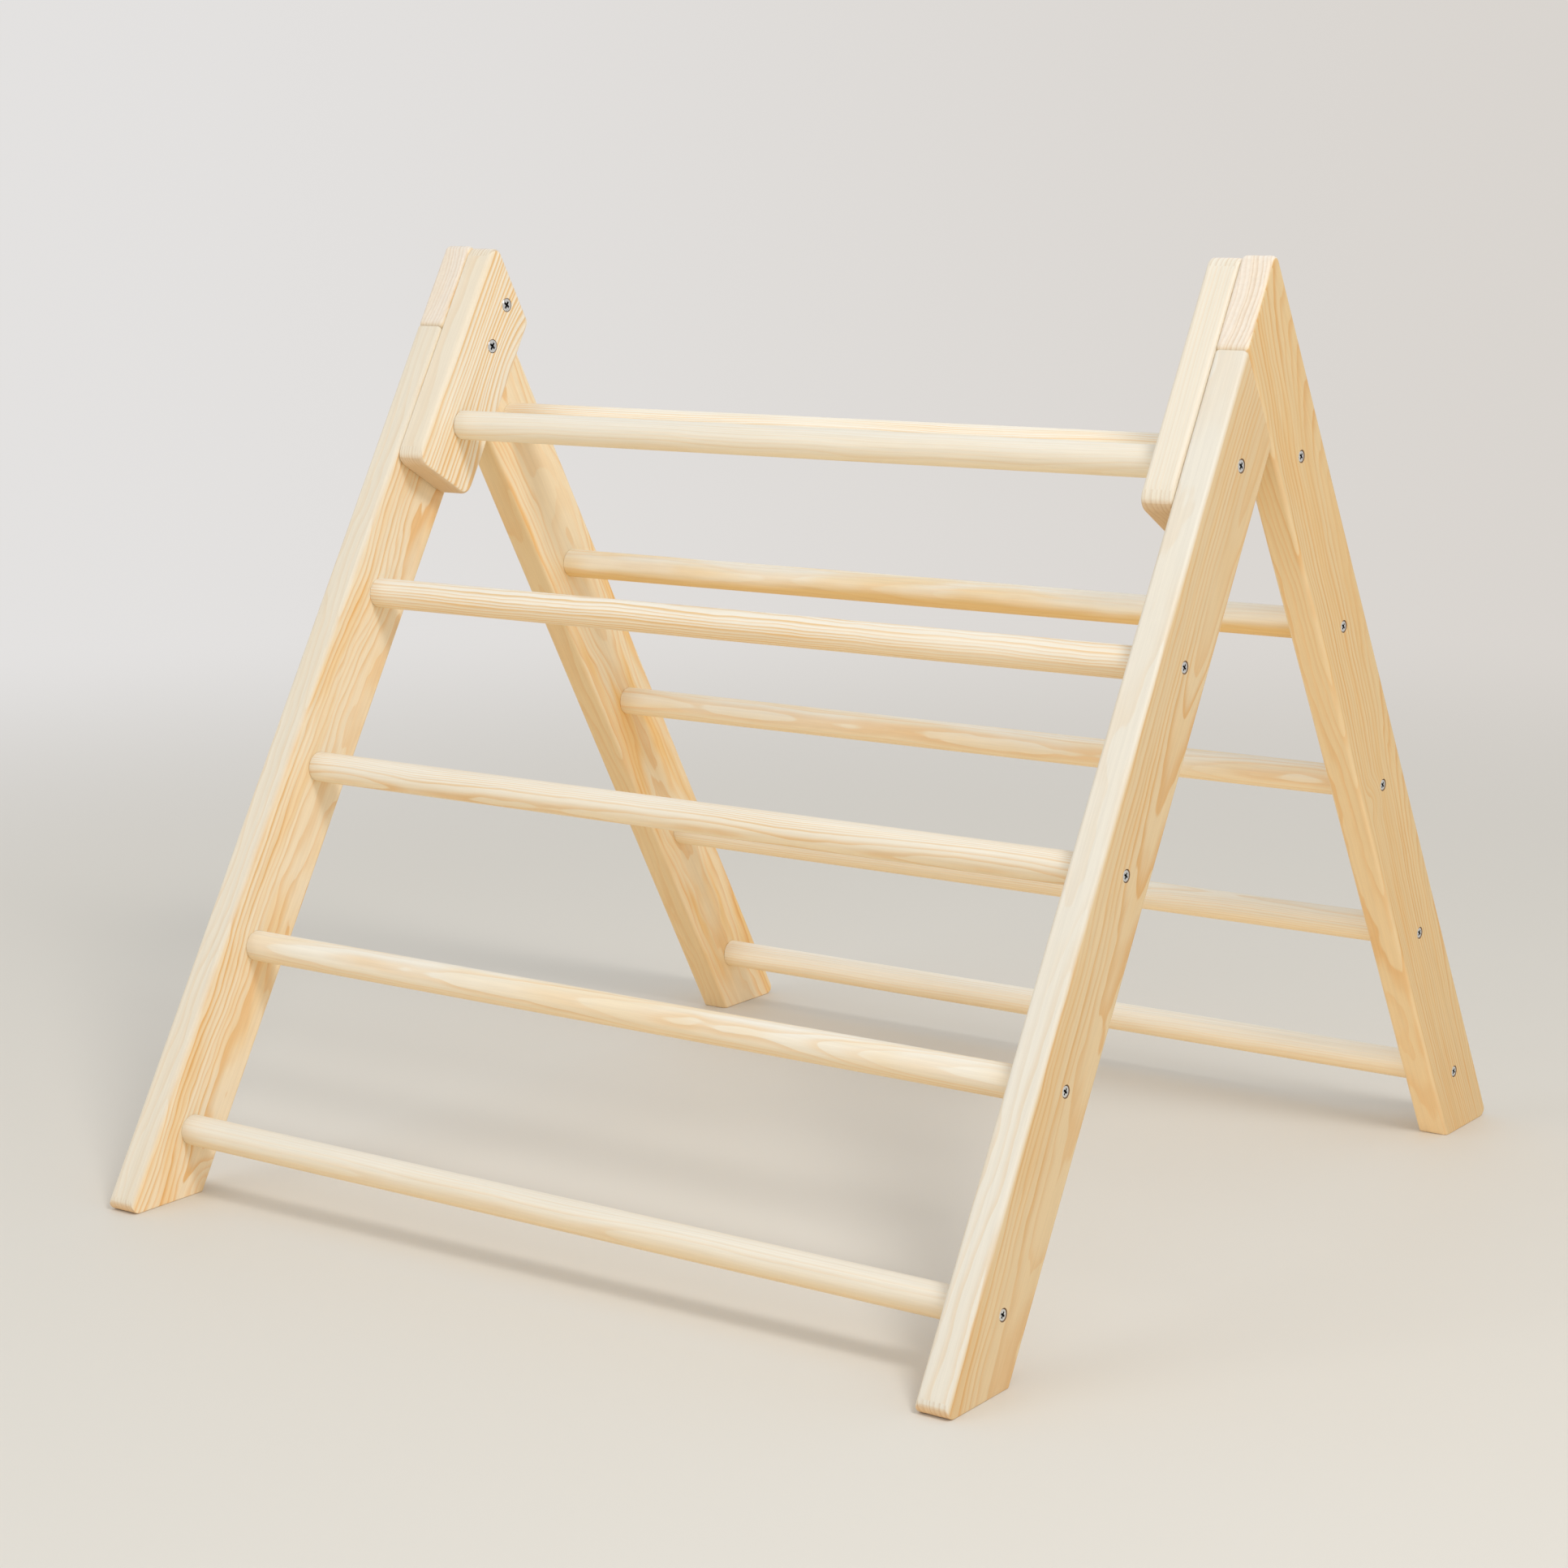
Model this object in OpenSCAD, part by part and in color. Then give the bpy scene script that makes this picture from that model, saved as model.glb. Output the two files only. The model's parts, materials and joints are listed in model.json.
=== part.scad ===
// Folding climbing triangle: two ladders of planed pine, hinged at the top.
//
// X runs along the rungs, Y from the front feet to the rear feet, Z up.
// The origin is on the floor, in the middle of the open frame.

/* [Frame] */
// Width over the outside of the rear rails
frame_w = 800; // [500:10:1100]
// Angle between the front and the rear ladder when open
open_angle = 60.5; // [50:0.5:75]

/* [Rails] */
// Width of a rail, seen from the side
rail_w = 74; // [60:1:80]
// Thickness of a rail
rail_t = 27; // [18:1:36]
// Radius of the rounded long edges of every board
arris_r = 4; // [2:0.5:6]
// Radius of the outer corner of each foot
foot_r = 8; // [3:1:12]

/* [Rungs] */
// Diameter of a rung
rung_d = 25; // [20:1:35]
// Distance between rungs, measured along the rail
rung_pitch = 160; // [130:5:190]
// Distance from the crossing of the rails' centre lines down to the top rung
top_rung_drop = 97; // [90:1:125]
// Height of the lowest rung's centre above the floor
low_rung_h = 55; // [50:1:90]
// Chamfer round the ends of a rung
rung_chamfer = 1.5; // [0.5:0.5:3]

/* [Hinge plates] */
// Thickness of a hinge plate
plate_t = 27; // [18:1:36]
// Length of a hinge plate below the pivot
plate_drop = 52; // [40:1:70]
// Radius of the lower corners of a hinge plate, and the most that it has at the apex
plate_r = 12; // [5:1:16]

/* [Apex] */
// Depth of a rear rail's level cut below the point where the outer edges would meet
rail_cut = 7; // [5:0.5:20]
// Depth of a hinge plate's level cut below the same point
plate_cut = 9; // [5:0.5:20]

/* [Screws] */
// Diameter of a pivot screw
pivot_d = 6; // [5:0.5:8]
// Head diameter of a pivot screw
pivot_head_d = 11; // [10:0.5:14]
// Length of a pivot screw
pivot_l = 100; // [90:5:140]
// Diameter of a rung screw
rung_screw_d = 5; // [4:0.5:6]
// Head diameter of a rung screw
rung_head_d = 10; // [8.5:0.5:12]
// Length of a rung screw
rung_screw_l = 80; // [60:5:100]
// Diameter of a plate screw
plate_screw_d = 6; // [4:0.5:7]
// Head diameter of a plate screw
plate_head_d = 12; // [9:0.5:14]
// Depth that a plate screw reaches into the rear rail
plate_screw_bite = 17; // [8:1:17]
// Distance between the two plate screws
plate_screw_pitch = 40; // [24:1:50]
// Distance of the plate screws behind the middle of the hinge plate
plate_screw_shift = 3; // [0:0.5:8]
// Distance that the two plate screws sit above the middle of the rear rail
plate_screw_rise = 2; // [0:0.5:6]

/* [Clearances] */
// Gap between a hinge plate and the parts that swing past it
side_gap = 0.3; // [0.2:0.1:1]
// Gap between the top of a front rail and the rear rail that stops it
stop_gap = 0.5; // [0.3:0.1:1.5]
// Running clearance round the pivot screws, on the radius
pivot_gap = 0.05; // [0.03:0.01:0.1]
// Clearance round every other screw, on the radius
screw_gap = 0.05; // [0.03:0.01:0.2]

/* [Hidden] */
$fn = 64;

PALE_PINE = [0.94, 0.87, 0.73];
WARM_PINE = [0.88, 0.74, 0.53];
RUNG_PINE = [0.95, 0.89, 0.76];
ZINC = [0.62, 0.64, 0.66];

RUNGS = 5; // rungs in each ladder
CORNER_SHARE = 0.9; // most of a level cut that its rounded corners take
OVER = 1; // how far a cutter reaches past a face that it cuts
LEFT = -1;
RIGHT = 1;
FRONT = -1;
REAR = 1;

// How far each ladder leans from the vertical.
lean = open_angle / 2;
// Length from the crossing of the rails' centre lines to the lowest rung.
ladder_l = (RUNGS - 1) * rung_pitch + top_rung_drop;
// Height of that crossing, and of the point above it where the outer edges
// would meet.
cross_h = low_rung_h + ladder_l * cos(lean);
peak_h = cross_h + rail_w / 2 / sin(lean);
// Boards are drawn longer than they end up, and cut to length: this much above
// the crossing and this much below it.
spare_top = 2 * rail_w;
spare_end = 1.5 * ladder_l;
// Larger than the whole frame, for the blocks that cut the boards.
far = 4 * ladder_l;

// Shape of a screw, as shares of its head's diameter: the straight rim of the
// head, and the cross in it.
RIM = 0.05;
SLOT_L = 0.52;
SLOT_W = 0.14;
// Depth of the cross, as a share of the head's cone.
SLOT_DEPTH = 0.6;
// Length and end of the point, as shares of the screw's diameter.
POINT_L = 1.5;
POINT_END = 0.15;

// Faces across the width, as distances from the middle plane.
rear_outer_x = frame_w / 2;
rear_inner_x = rear_outer_x - rail_t;
plate_inner_x = rear_inner_x - plate_t;
front_inner_x = rear_inner_x + side_gap;
front_outer_x = front_inner_x + rail_t;
top_rung_x = plate_inner_x - side_gap;

// The pivot is the axis of the top front rung. Distance from it to the stop
// face, which is the front edge of the rear rail.
stop_d = top_rung_drop * sin(open_angle) - rail_w / 2;
// The top of the front rail stays inside this radius as it swings.
swing_r = stop_d - stop_gap;

// Distance of rung i, counted from the top, below the crossing.
function rung_drop(i) = top_rung_drop + (i - 1) * rung_pitch;

// A level cut at the apex runs this far to each side of the middle, and its
// corners are rounded within it.
function half_flat(cut) = cut * tan(lean);
function apex_r(cut) = min(plate_r, CORNER_SHARE * half_flat(cut) * tan(45 + lean / 2));

// ---------- Places ----------

// Puts the children in the plane of one ladder: the local origin is where the
// centre lines cross, local -Z runs down the rail and local +Y lies across it,
// toward the rear.
module in_ladder(ladder) {
  translate([0, 0, cross_h]) rotate([ladder * lean, 0, 0]) children();
}

// Extrudes a side view, drawn as [y, z], from x0 to x1.
module slab(x0, x1) {
  translate([x0, 0, 0]) rotate([90, 0, 90]) linear_extrude(height = x1 - x0) children();
}

// Turns a +Z shape so that it points into the board from the given side.
module inward(side) {
  rotate([0, -side * 90, 0]) children();
}

// ---------- Boards ----------

// Cross section of a planed board with its four long edges rounded.
module board_section(t, w) {
  square([t - 2 * arris_r, w], center = true);
  square([t, w - 2 * arris_r], center = true);
  for (x = [-1, 1], y = [-1, 1])
    translate([x * (t / 2 - arris_r), y * (w / 2 - arris_r)]) circle(arris_r);
}

// A board of width rail_w between two x faces, in the frame of a ladder,
// from bottom to top along the ladder.
module board(x0, x1, bottom, top) {
  translate([(x0 + x1) / 2, 0, bottom])
    linear_extrude(height = top - bottom) board_section(x1 - x0, rail_w);
}

// The offcut that rounds a corner of a side view. The corner is at the origin.
// One edge leaves it along +Y and the other at the given angle from +Y, and
// the wood lies between them.
module corner_offcut(angle, r) {
  back = r / tan(angle / 2);
  along = [cos(angle), sin(angle)];
  out = [-sin(angle), cos(angle)];
  difference() {
    polygon([
      [back, 0], [back, -r], [-back, -r], back * along + r * out, back * along, [back, r]
    ]);
    translate([back, r]) circle(r);
  }
}

// Everything above the floor.
module above_floor() {
  translate([-far / 2, -far / 2, 0]) cube(far);
}

// Everything below a level cut at the apex.
module below_top(cut) {
  translate([-far / 2, -far / 2, peak_h - cut - far]) cube(far);
}

// Everything behind the slanted face that continues the front edge of the
// front rail up to the apex.
module behind_front_edge() {
  in_ladder(FRONT) translate([-far / 2, -rail_w / 2, -far / 2]) cube(far);
}

// Everything in front of the slanted face of the rear rail's rear edge.
module before_rear_edge() {
  in_ladder(REAR) translate([-far / 2, rail_w / 2 - far, -far / 2]) cube(far);
}

// Rounds the two corners at the apex, where the slanted faces meet a level cut.
module apex_offcuts(cut, x0, x1) {
  for (s = [FRONT, REAR])
    slab(x0, x1)
      translate([s * half_flat(cut), peak_h - cut]) mirror([s > 0 ? 1 : 0, 0])
        mirror([0, 1]) corner_offcut(90 + lean, apex_r(cut));
}

// Rounds the outer corner of a foot.
module foot_offcut(ladder, x0, x1) {
  foot_y = cross_h * tan(lean) + rail_w / 2 / cos(lean);
  slab(x0, x1)
    translate([ladder * foot_y, 0]) mirror([ladder > 0 ? 1 : 0, 0])
      corner_offcut(90 - lean, foot_r);
}

// ---------- Screws ----------

// Height of the 90 degree cone under a countersunk head.
function cone_h(d, head_d) = (head_d - d) / 2;

// A countersunk wood screw along +Z with the top of its head at the origin.
module screw(d, head_d, l) {
  rim_h = RIM * head_d;
  shank_z = rim_h + cone_h(d, head_d);
  point_z = l - POINT_L * d;
  difference() {
    union() {
      cylinder(d = head_d, h = rim_h);
      translate([0, 0, rim_h]) cylinder(d1 = head_d, d2 = d, h = cone_h(d, head_d));
      translate([0, 0, shank_z]) cylinder(d = d, h = point_z - shank_z);
      translate([0, 0, point_z]) cylinder(d1 = d, d2 = POINT_END * d, h = l - point_z);
    }
    for (a = [0, 90])
      rotate(a) translate([-SLOT_L * head_d / 2, -SLOT_W * head_d / 2, -OVER])
        cube([SLOT_L * head_d, SLOT_W * head_d, OVER + SLOT_DEPTH * cone_h(d, head_d)]);
  }
}

// The hole that the screw sits in, larger by the gap on every radius and
// longer by the same gap at its point.
module screw_hole(d, head_d, l, gap) {
  rim_h = RIM * head_d + gap;
  translate([0, 0, -OVER]) cylinder(d = head_d + 2 * gap, h = OVER + rim_h);
  translate([0, 0, rim_h])
    cylinder(d1 = head_d + 2 * gap, d2 = d + 2 * gap, h = cone_h(d, head_d));
  cylinder(d = d + 2 * gap, h = l + gap);
}

// Places for the pivot screws, rung screws and plate screws of one side.
module at_pivot(side) {
  in_ladder(FRONT) translate([side * front_outer_x, 0, -top_rung_drop]) inward(side) children();
}

module at_rung_screw(ladder, side, i) {
  outer_x = ladder == FRONT ? front_outer_x : rear_outer_x;
  in_ladder(ladder) translate([side * outer_x, 0, -rung_drop(i)]) inward(side) children();
}

// The two plate screws lie along the hinge plate, a little above the middle of
// the rear rail that they hold.
module at_plate_screws(side) {
  mid = plate_screw_rise - plate_screw_shift / tan(open_angle);
  for (s = [-0.5, 0.5])
    in_ladder(FRONT)
      translate([side * plate_inner_x, plate_screw_shift, mid + s * plate_screw_pitch])
        inward(-side) children();
}

module pivot_hole(side) {
  at_pivot(side) screw_hole(pivot_d, pivot_head_d, pivot_l, pivot_gap);
}

module rung_screw_hole(ladder, side, i) {
  at_rung_screw(ladder, side, i)
    screw_hole(rung_screw_d, rung_head_d, rung_screw_l, screw_gap);
}

module plate_screw_holes(side) {
  at_plate_screws(side)
    screw_hole(plate_screw_d, plate_head_d, plate_t + plate_screw_bite, screw_gap);
}

// ---------- Rails ----------

// The front rail ends at the stop face, and the rear half of that end is cut
// back on an arc round the pivot, so that it clears the rear rail as it swings.
module front_rail(side) {
  x0 = min(side * front_inner_x, side * front_outer_x);
  x1 = max(side * front_inner_x, side * front_outer_x);
  color(PALE_PINE) difference() {
    intersection() {
      in_ladder(FRONT) board(x0, x1, -spare_end, spare_top);
      above_floor();
      in_ladder(REAR)
        translate([-far / 2, -rail_w / 2 - stop_gap - far, -far / 2]) cube(far);
    }
    foot_offcut(FRONT, x0 - OVER, x1 + OVER);
    swing_offcut(x0 - OVER, x1 + OVER);
    pivot_hole(side);
    for (i = [2:RUNGS]) rung_screw_hole(FRONT, side, i);
  }
}

// The wood above the pivot, on the side that turns toward the rear rail, that
// lies outside the swing radius.
module swing_offcut(x0, x1) {
  slab(x0, x1)
    translate([-top_rung_drop * sin(lean), cross_h - top_rung_drop * cos(lean)])
      rotate(lean) difference() {
        translate([0, -rail_w / 2]) square([2 * rail_w, rail_w / 2]);
        circle(swing_r);
      }
}

// The rear rail runs up to the apex, where its end is cut in line with the
// front edge of the front rail.
module rear_rail(side) {
  x0 = min(side * rear_inner_x, side * rear_outer_x);
  x1 = max(side * rear_inner_x, side * rear_outer_x);
  color(WARM_PINE) difference() {
    intersection() {
      in_ladder(REAR) board(x0, x1, -spare_end, spare_top);
      above_floor();
      below_top(rail_cut);
      behind_front_edge();
    }
    foot_offcut(REAR, x0 - OVER, x1 + OVER);
    apex_offcuts(rail_cut, x0 - OVER, x1 + OVER);
    for (i = [1:RUNGS]) rung_screw_hole(REAR, side, i);
    plate_screw_holes(side);
  }
}

module front_left_rail() { front_rail(LEFT); }
module front_right_rail() { front_rail(RIGHT); }
module rear_left_rail() { rear_rail(LEFT); }
module rear_right_rail() { rear_rail(RIGHT); }

// ---------- Hinge plates ----------

// The hinge plate lies along the front rail, screwed to the rear rail, and
// carries the pivot screw.
module hinge_plate(side) {
  x0 = min(side * plate_inner_x, side * rear_inner_x);
  x1 = max(side * plate_inner_x, side * rear_inner_x);
  color(PALE_PINE) difference() {
    intersection() {
      in_ladder(FRONT) board(x0, x1, -top_rung_drop - plate_drop, spare_top);
      below_top(plate_cut);
      before_rear_edge();
    }
    apex_offcuts(plate_cut, x0 - OVER, x1 + OVER);
    plate_end_offcuts(x0 - OVER, x1 + OVER);
    pivot_hole(side);
    plate_screw_holes(side);
  }
}

// Rounds the two lower corners of a hinge plate.
module plate_end_offcuts(x0, x1) {
  for (s = [-1, 1])
    in_ladder(FRONT) slab(x0, x1)
      translate([s * rail_w / 2, -top_rung_drop - plate_drop]) mirror([s > 0 ? 1 : 0, 0])
        corner_offcut(90, plate_r);
}

module left_hinge_plate() { hinge_plate(LEFT); }
module right_hinge_plate() { hinge_plate(RIGHT); }

// ---------- Rungs ----------

// A round bar along X with chamfered ends at -end_x and end_x.
module bar(end_x) {
  rotate([0, 90, 0]) {
    translate([0, 0, -end_x])
      cylinder(d1 = rung_d - 2 * rung_chamfer, d2 = rung_d, h = rung_chamfer);
    translate([0, 0, rung_chamfer - end_x]) cylinder(d = rung_d, h = 2 * (end_x - rung_chamfer));
    translate([0, 0, end_x - rung_chamfer])
      cylinder(d1 = rung_d, d2 = rung_d - 2 * rung_chamfer, h = rung_chamfer);
  }
}

module front_rung(i) {
  color(RUNG_PINE) difference() {
    in_ladder(FRONT) translate([0, 0, -rung_drop(i)]) bar(i == 1 ? top_rung_x : front_inner_x);
    for (side = [LEFT, RIGHT])
      if (i == 1) pivot_hole(side);
      else rung_screw_hole(FRONT, side, i);
  }
}

module rear_rung(i) {
  color(RUNG_PINE) difference() {
    in_ladder(REAR) translate([0, 0, -rung_drop(i)]) bar(rear_inner_x);
    for (side = [LEFT, RIGHT]) rung_screw_hole(REAR, side, i);
  }
}

module front_rung_1() { front_rung(1); }
module front_rung_2() { front_rung(2); }
module front_rung_3() { front_rung(3); }
module front_rung_4() { front_rung(4); }
module front_rung_5() { front_rung(5); }
module rear_rung_1() { rear_rung(1); }
module rear_rung_2() { rear_rung(2); }
module rear_rung_3() { rear_rung(3); }
module rear_rung_4() { rear_rung(4); }
module rear_rung_5() { rear_rung(5); }

// ---------- Fastened screws ----------

module pivot_screws() {
  color(ZINC) for (side = [LEFT, RIGHT]) at_pivot(side) screw(pivot_d, pivot_head_d, pivot_l);
}

// The top front rung is held by the pivot screws, so the front rails start at
// rung 2.
module rung_screws(ladder, side) {
  color(ZINC) for (i = [ladder == FRONT ? 2 : 1 : RUNGS])
    at_rung_screw(ladder, side, i) screw(rung_screw_d, rung_head_d, rung_screw_l);
}

module plate_screws(side) {
  color(ZINC)
    at_plate_screws(side) screw(plate_screw_d, plate_head_d, plate_t + plate_screw_bite);
}

module front_left_rung_screws() { rung_screws(FRONT, LEFT); }
module front_right_rung_screws() { rung_screws(FRONT, RIGHT); }
module rear_left_rung_screws() { rung_screws(REAR, LEFT); }
module rear_right_rung_screws() { rung_screws(REAR, RIGHT); }
module left_plate_screws() { plate_screws(LEFT); }
module right_plate_screws() { plate_screws(RIGHT); }

front_left_rail();
front_right_rail();
rear_left_rail();
rear_right_rail();
left_hinge_plate();
right_hinge_plate();
front_rung_1();
front_rung_2();
front_rung_3();
front_rung_4();
front_rung_5();
rear_rung_1();
rear_rung_2();
rear_rung_3();
rear_rung_4();
rear_rung_5();
pivot_screws();
front_left_rung_screws();
front_right_rung_screws();
rear_left_rung_screws();
rear_right_rung_screws();
left_plate_screws();
right_plate_screws();
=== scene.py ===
"""Looks of a folding climbing triangle of planed pine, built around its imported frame.

Every length is in metres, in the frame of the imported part: X along the rungs, Y from the
front feet to the rear feet, Z up. The wood's figure alone is drawn in millimetres.
"""

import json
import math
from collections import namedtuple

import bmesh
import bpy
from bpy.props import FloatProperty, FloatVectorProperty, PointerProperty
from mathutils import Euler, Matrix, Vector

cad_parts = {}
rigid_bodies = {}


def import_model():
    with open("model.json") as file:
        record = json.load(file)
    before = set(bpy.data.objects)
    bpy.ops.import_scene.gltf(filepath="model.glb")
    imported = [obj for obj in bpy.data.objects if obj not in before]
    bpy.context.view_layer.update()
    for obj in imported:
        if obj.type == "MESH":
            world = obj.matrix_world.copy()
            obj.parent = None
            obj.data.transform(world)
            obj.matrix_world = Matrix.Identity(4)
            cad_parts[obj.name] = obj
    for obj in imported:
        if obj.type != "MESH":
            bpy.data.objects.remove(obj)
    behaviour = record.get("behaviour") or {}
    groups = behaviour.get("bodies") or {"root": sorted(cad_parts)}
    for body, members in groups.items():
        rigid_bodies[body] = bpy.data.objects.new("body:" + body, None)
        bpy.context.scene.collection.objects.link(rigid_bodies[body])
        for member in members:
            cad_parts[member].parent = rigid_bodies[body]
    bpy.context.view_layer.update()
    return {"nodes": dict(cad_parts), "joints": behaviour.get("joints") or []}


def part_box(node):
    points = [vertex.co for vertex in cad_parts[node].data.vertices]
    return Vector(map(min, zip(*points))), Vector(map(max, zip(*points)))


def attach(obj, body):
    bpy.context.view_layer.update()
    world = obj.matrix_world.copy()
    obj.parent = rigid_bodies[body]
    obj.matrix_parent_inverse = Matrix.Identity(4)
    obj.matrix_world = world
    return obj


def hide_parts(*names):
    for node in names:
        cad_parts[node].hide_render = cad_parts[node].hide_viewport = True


bl_info = {
    "name": "Folding Climbing Triangle",
    "version": (1, 0, 0),
    "blender": (4, 5, 0),
    "location": "3D View > Sidebar > Triangle",
    "description": "Dresses a folding climbing triangle in planed pine and zinc screws",
    "category": "Add Mesh",
}

for leftover in list(bpy.data.objects):
    bpy.data.objects.remove(leftover)

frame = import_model()

MM = 0.001
X_AXIS = Vector((1, 0, 0))
UP = Vector((0, 0, 1))
ROUND = 2 * math.pi
RUNGS = 5
SIDES = {"left": -1, "right": 1}


# ---------- Sizes and colours that a user would change ----------

def length_property(name, description, millimetres):
    return FloatProperty(
        name=name, description=description, default=millimetres * MM, min=0, unit="LENGTH"
    )


def colour_property(name, description, rgb):
    return FloatVectorProperty(
        name=name, description=description, default=rgb, size=3, min=0, max=1, subtype="COLOR"
    )


def share_property(name, description, default):
    return FloatProperty(
        name=name, description=description, default=default, min=0, max=1, subtype="FACTOR"
    )


class TriangleSizes(bpy.types.PropertyGroup):
    """Small shapes that the frame's boxes don't give."""

    arris: length_property("Arris", "Radius of a board's long edges", 4)
    easing: length_property("Easing", "Radius sanded onto a board's cut ends", 0.9)
    stop_easing: length_property("Stop easing", "Radius on the cut top of a front rail", 0.35)
    apex_easing: length_property("Apex easing", "Radius on the cut top of a rear rail", 3.8)
    plate_easing: length_property("Plate easing", "Radius on the cut ends of a hinge plate", 3.6)
    foot: length_property("Foot", "Radius of the outer corner of each foot", 8)
    rail_apex: length_property("Rail apex", "Radius of the corners at a rear rail's top", 6.4)
    plate_apex: length_property("Plate apex", "Radius of the corners at a hinge plate's top", 8.2)
    plate: length_property("Plate end", "Radius of a hinge plate's lower corners", 12)
    bar_end: length_property("Rung end", "Radius at the ends of a rung", 0.8)
    rung_screw: length_property("Rung screw", "Diameter of a rung screw", 5)
    rung_head: length_property("Rung screw head", "Head diameter of a rung screw", 10)
    pivot_screw: length_property("Pivot screw", "Diameter of a pivot screw", 6)
    pivot_head: length_property("Pivot screw head", "Head diameter of a pivot screw", 11)
    plate_screw: length_property("Plate screw", "Diameter of a plate screw", 6)
    plate_head: length_property("Plate screw head", "Head diameter of a plate screw", 12)
    head_gap: length_property("Head gap", "Ring of seat round a rung or pivot screw's head", 0.8)
    plate_gap: length_property("Plate head gap", "Ring of seat round a plate screw's head", 0.5)
    hole_gap: length_property("Hole gap", "Clearance round a screw, on the radius", 0.05)


class PineLook(bpy.types.PropertyGroup):
    """Finish of the wood, with the painted shade in its screw seats and on its lower cut ends."""

    pale: colour_property("Pale", "Early wood of the palest boards", (0.84, 0.80, 0.70))
    honey: colour_property("Honey", "Early wood of the warmest boards", (0.765, 0.605, 0.36))
    band: colour_property("Band", "Tint of the dark line of each ring", (0.91, 0.68, 0.42))
    resin: colour_property("Resin", "Tint of the patches that hold resin", (0.98, 0.80, 0.52))
    end: colour_property("End grain", "Wood of the upper cut ends", (0.81, 0.75, 0.67))
    # The lower cut ends' darker, warmer colour is painted shade on faces turned down.
    lower_end_shade: colour_property("Foot end grain", "Wood of the lower cut ends", (0.72, 0.58, 0.42))
    end_band: colour_property("End band", "Tint of the lines on the cut ends", (0.84, 0.74, 0.64))
    # Near-black painted shade on the walls of the screw seats.
    seat_shade: colour_property("Bore", "Wood in the seats of the screws", (0.13, 0.08, 0.045))
    roughness: share_property("Roughness", "Roughness of the clear finish", 0.46)


class ZincLook(bpy.types.PropertyGroup):
    """Finish of the screws, and the painted shade in the crosses of their heads."""

    plating: colour_property("Plating", "Zinc plating of the screws", (0.82, 0.84, 0.85))
    # Near-black painted shade in the recess of each head's cross.
    cross_shade: colour_property("Grime", "Dull zinc in the cross of a head", (0.022, 0.023, 0.025))
    roughness: share_property("Roughness", "Roughness of the plating", 0.24)


class StageLook(bpy.types.PropertyGroup):
    """Floor, background and lamps."""

    floor: colour_property("Floor", "Plain pale floor", (0.715, 0.690, 0.635))
    bounce: colour_property("Bounce", "Warm light that the floor returns", (0.93, 0.72, 0.43))
    wall: colour_property("Wall", "Background at the left", (0.775, 0.760, 0.750))
    dusk: colour_property("Wall, right", "Background at the right", (0.694, 0.660, 0.622))
    sky: FloatProperty(name="Sky", description="Strength of the even light", default=0.70, min=0)
    ceiling: FloatProperty(
        name="Ceiling", description="Lamp above the right side", default=50, min=0, unit="POWER"
    )
    window: FloatProperty(
        name="Window", description="Lamp at the front left", default=26, min=0, unit="POWER"
    )


def sizes():
    return bpy.context.scene.triangle_sizes


# ---------- The ladders, read from the frame ----------

def centre(node):
    low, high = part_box(node)
    return (low + high) / 2


class Ladder:
    """The plane of one ladder, with its origin where the rails' centre lines cross.

    up runs along the rails and across lies square to them, toward the rear.
    """

    def __init__(self, name):
        top = centre(f"{name}_rung_1")
        bottom = centre(f"{name}_rung_{RUNGS}")
        self.name = name
        self.up = (top - bottom).normalized()
        self.across = self.up.cross(X_AXIS)
        self.origin = top - self.up * (top.y / self.up.y)

    def place(self, x, across, along):
        return self.origin + X_AXIS * x + self.across * across + self.up * along

    def local(self, point):
        offset = point - self.origin
        return offset.dot(self.across), offset.dot(self.up)

    def line(self, point, normal):
        """The plane through a point as a line (a, b, c), where a * across + b * along = c."""
        offset = point - self.origin
        return normal.dot(self.across), normal.dot(self.up), normal.dot(offset)

    def half_width(self, node):
        spread = [self.local(v.co)[0] for v in frame["nodes"][node].data.vertices]
        return (max(spread) - min(spread)) / 2

    def lowest(self, node):
        return min(self.local(v.co)[1] for v in frame["nodes"][node].data.vertices)


FRONT = Ladder("front")
REAR = Ladder("rear")
HALF_W = FRONT.half_width("front_left_rail")
PIVOT = Vector(frame["joints"][0]["pos_m"])


# ---------- Cut ends of the boards ----------

FILLET_STEPS = 10
ARC_STEPS = 12
EDGE_RUN = 8 * HALF_W       # how far a board's edges are followed inward from a cut
SLOPE_REACH = 0.2 * MM      # half the step over which an end's slope is read
STEEPEST = 2.5              # limit on an end's steepness
SAME = 1e-9                 # places nearer than this are one
BLUNT = 0.6 * MM            # radius of the sharp rear corner on a hinge plate's top
ABOVE, BELOW = 1, -1        # where a board lies, seen from its cut end


def meet(line_a, line_b):
    """The point (across, along) where two lines of a ladder meet."""
    a, b, c = line_a
    d, e, f = line_b
    det = a * e - b * d
    return Vector(((c * e - b * f) / det, (a * f - c * d) / det))


def fillet(corner, before, after, radius):
    """Points that round a corner between the points before and after it."""
    if radius <= 0:
        return [corner]
    to_before = (before - corner).normalized()
    to_after = (after - corner).normalized()
    half = to_before.angle(to_after) / 2
    middle = corner + (to_before + to_after).normalized() * (radius / math.sin(half))
    start = corner + to_before * (radius / math.tan(half)) - middle
    end = corner + to_after * (radius / math.tan(half)) - middle
    sweep = start.angle(end)
    points = []
    for i in range(FILLET_STEPS + 1):
        a = sweep * i / FILLET_STEPS
        blend = (start * math.sin(sweep - a) + end * math.sin(a)) / math.sin(sweep)
        points.append(middle + blend)
    return points


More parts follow.
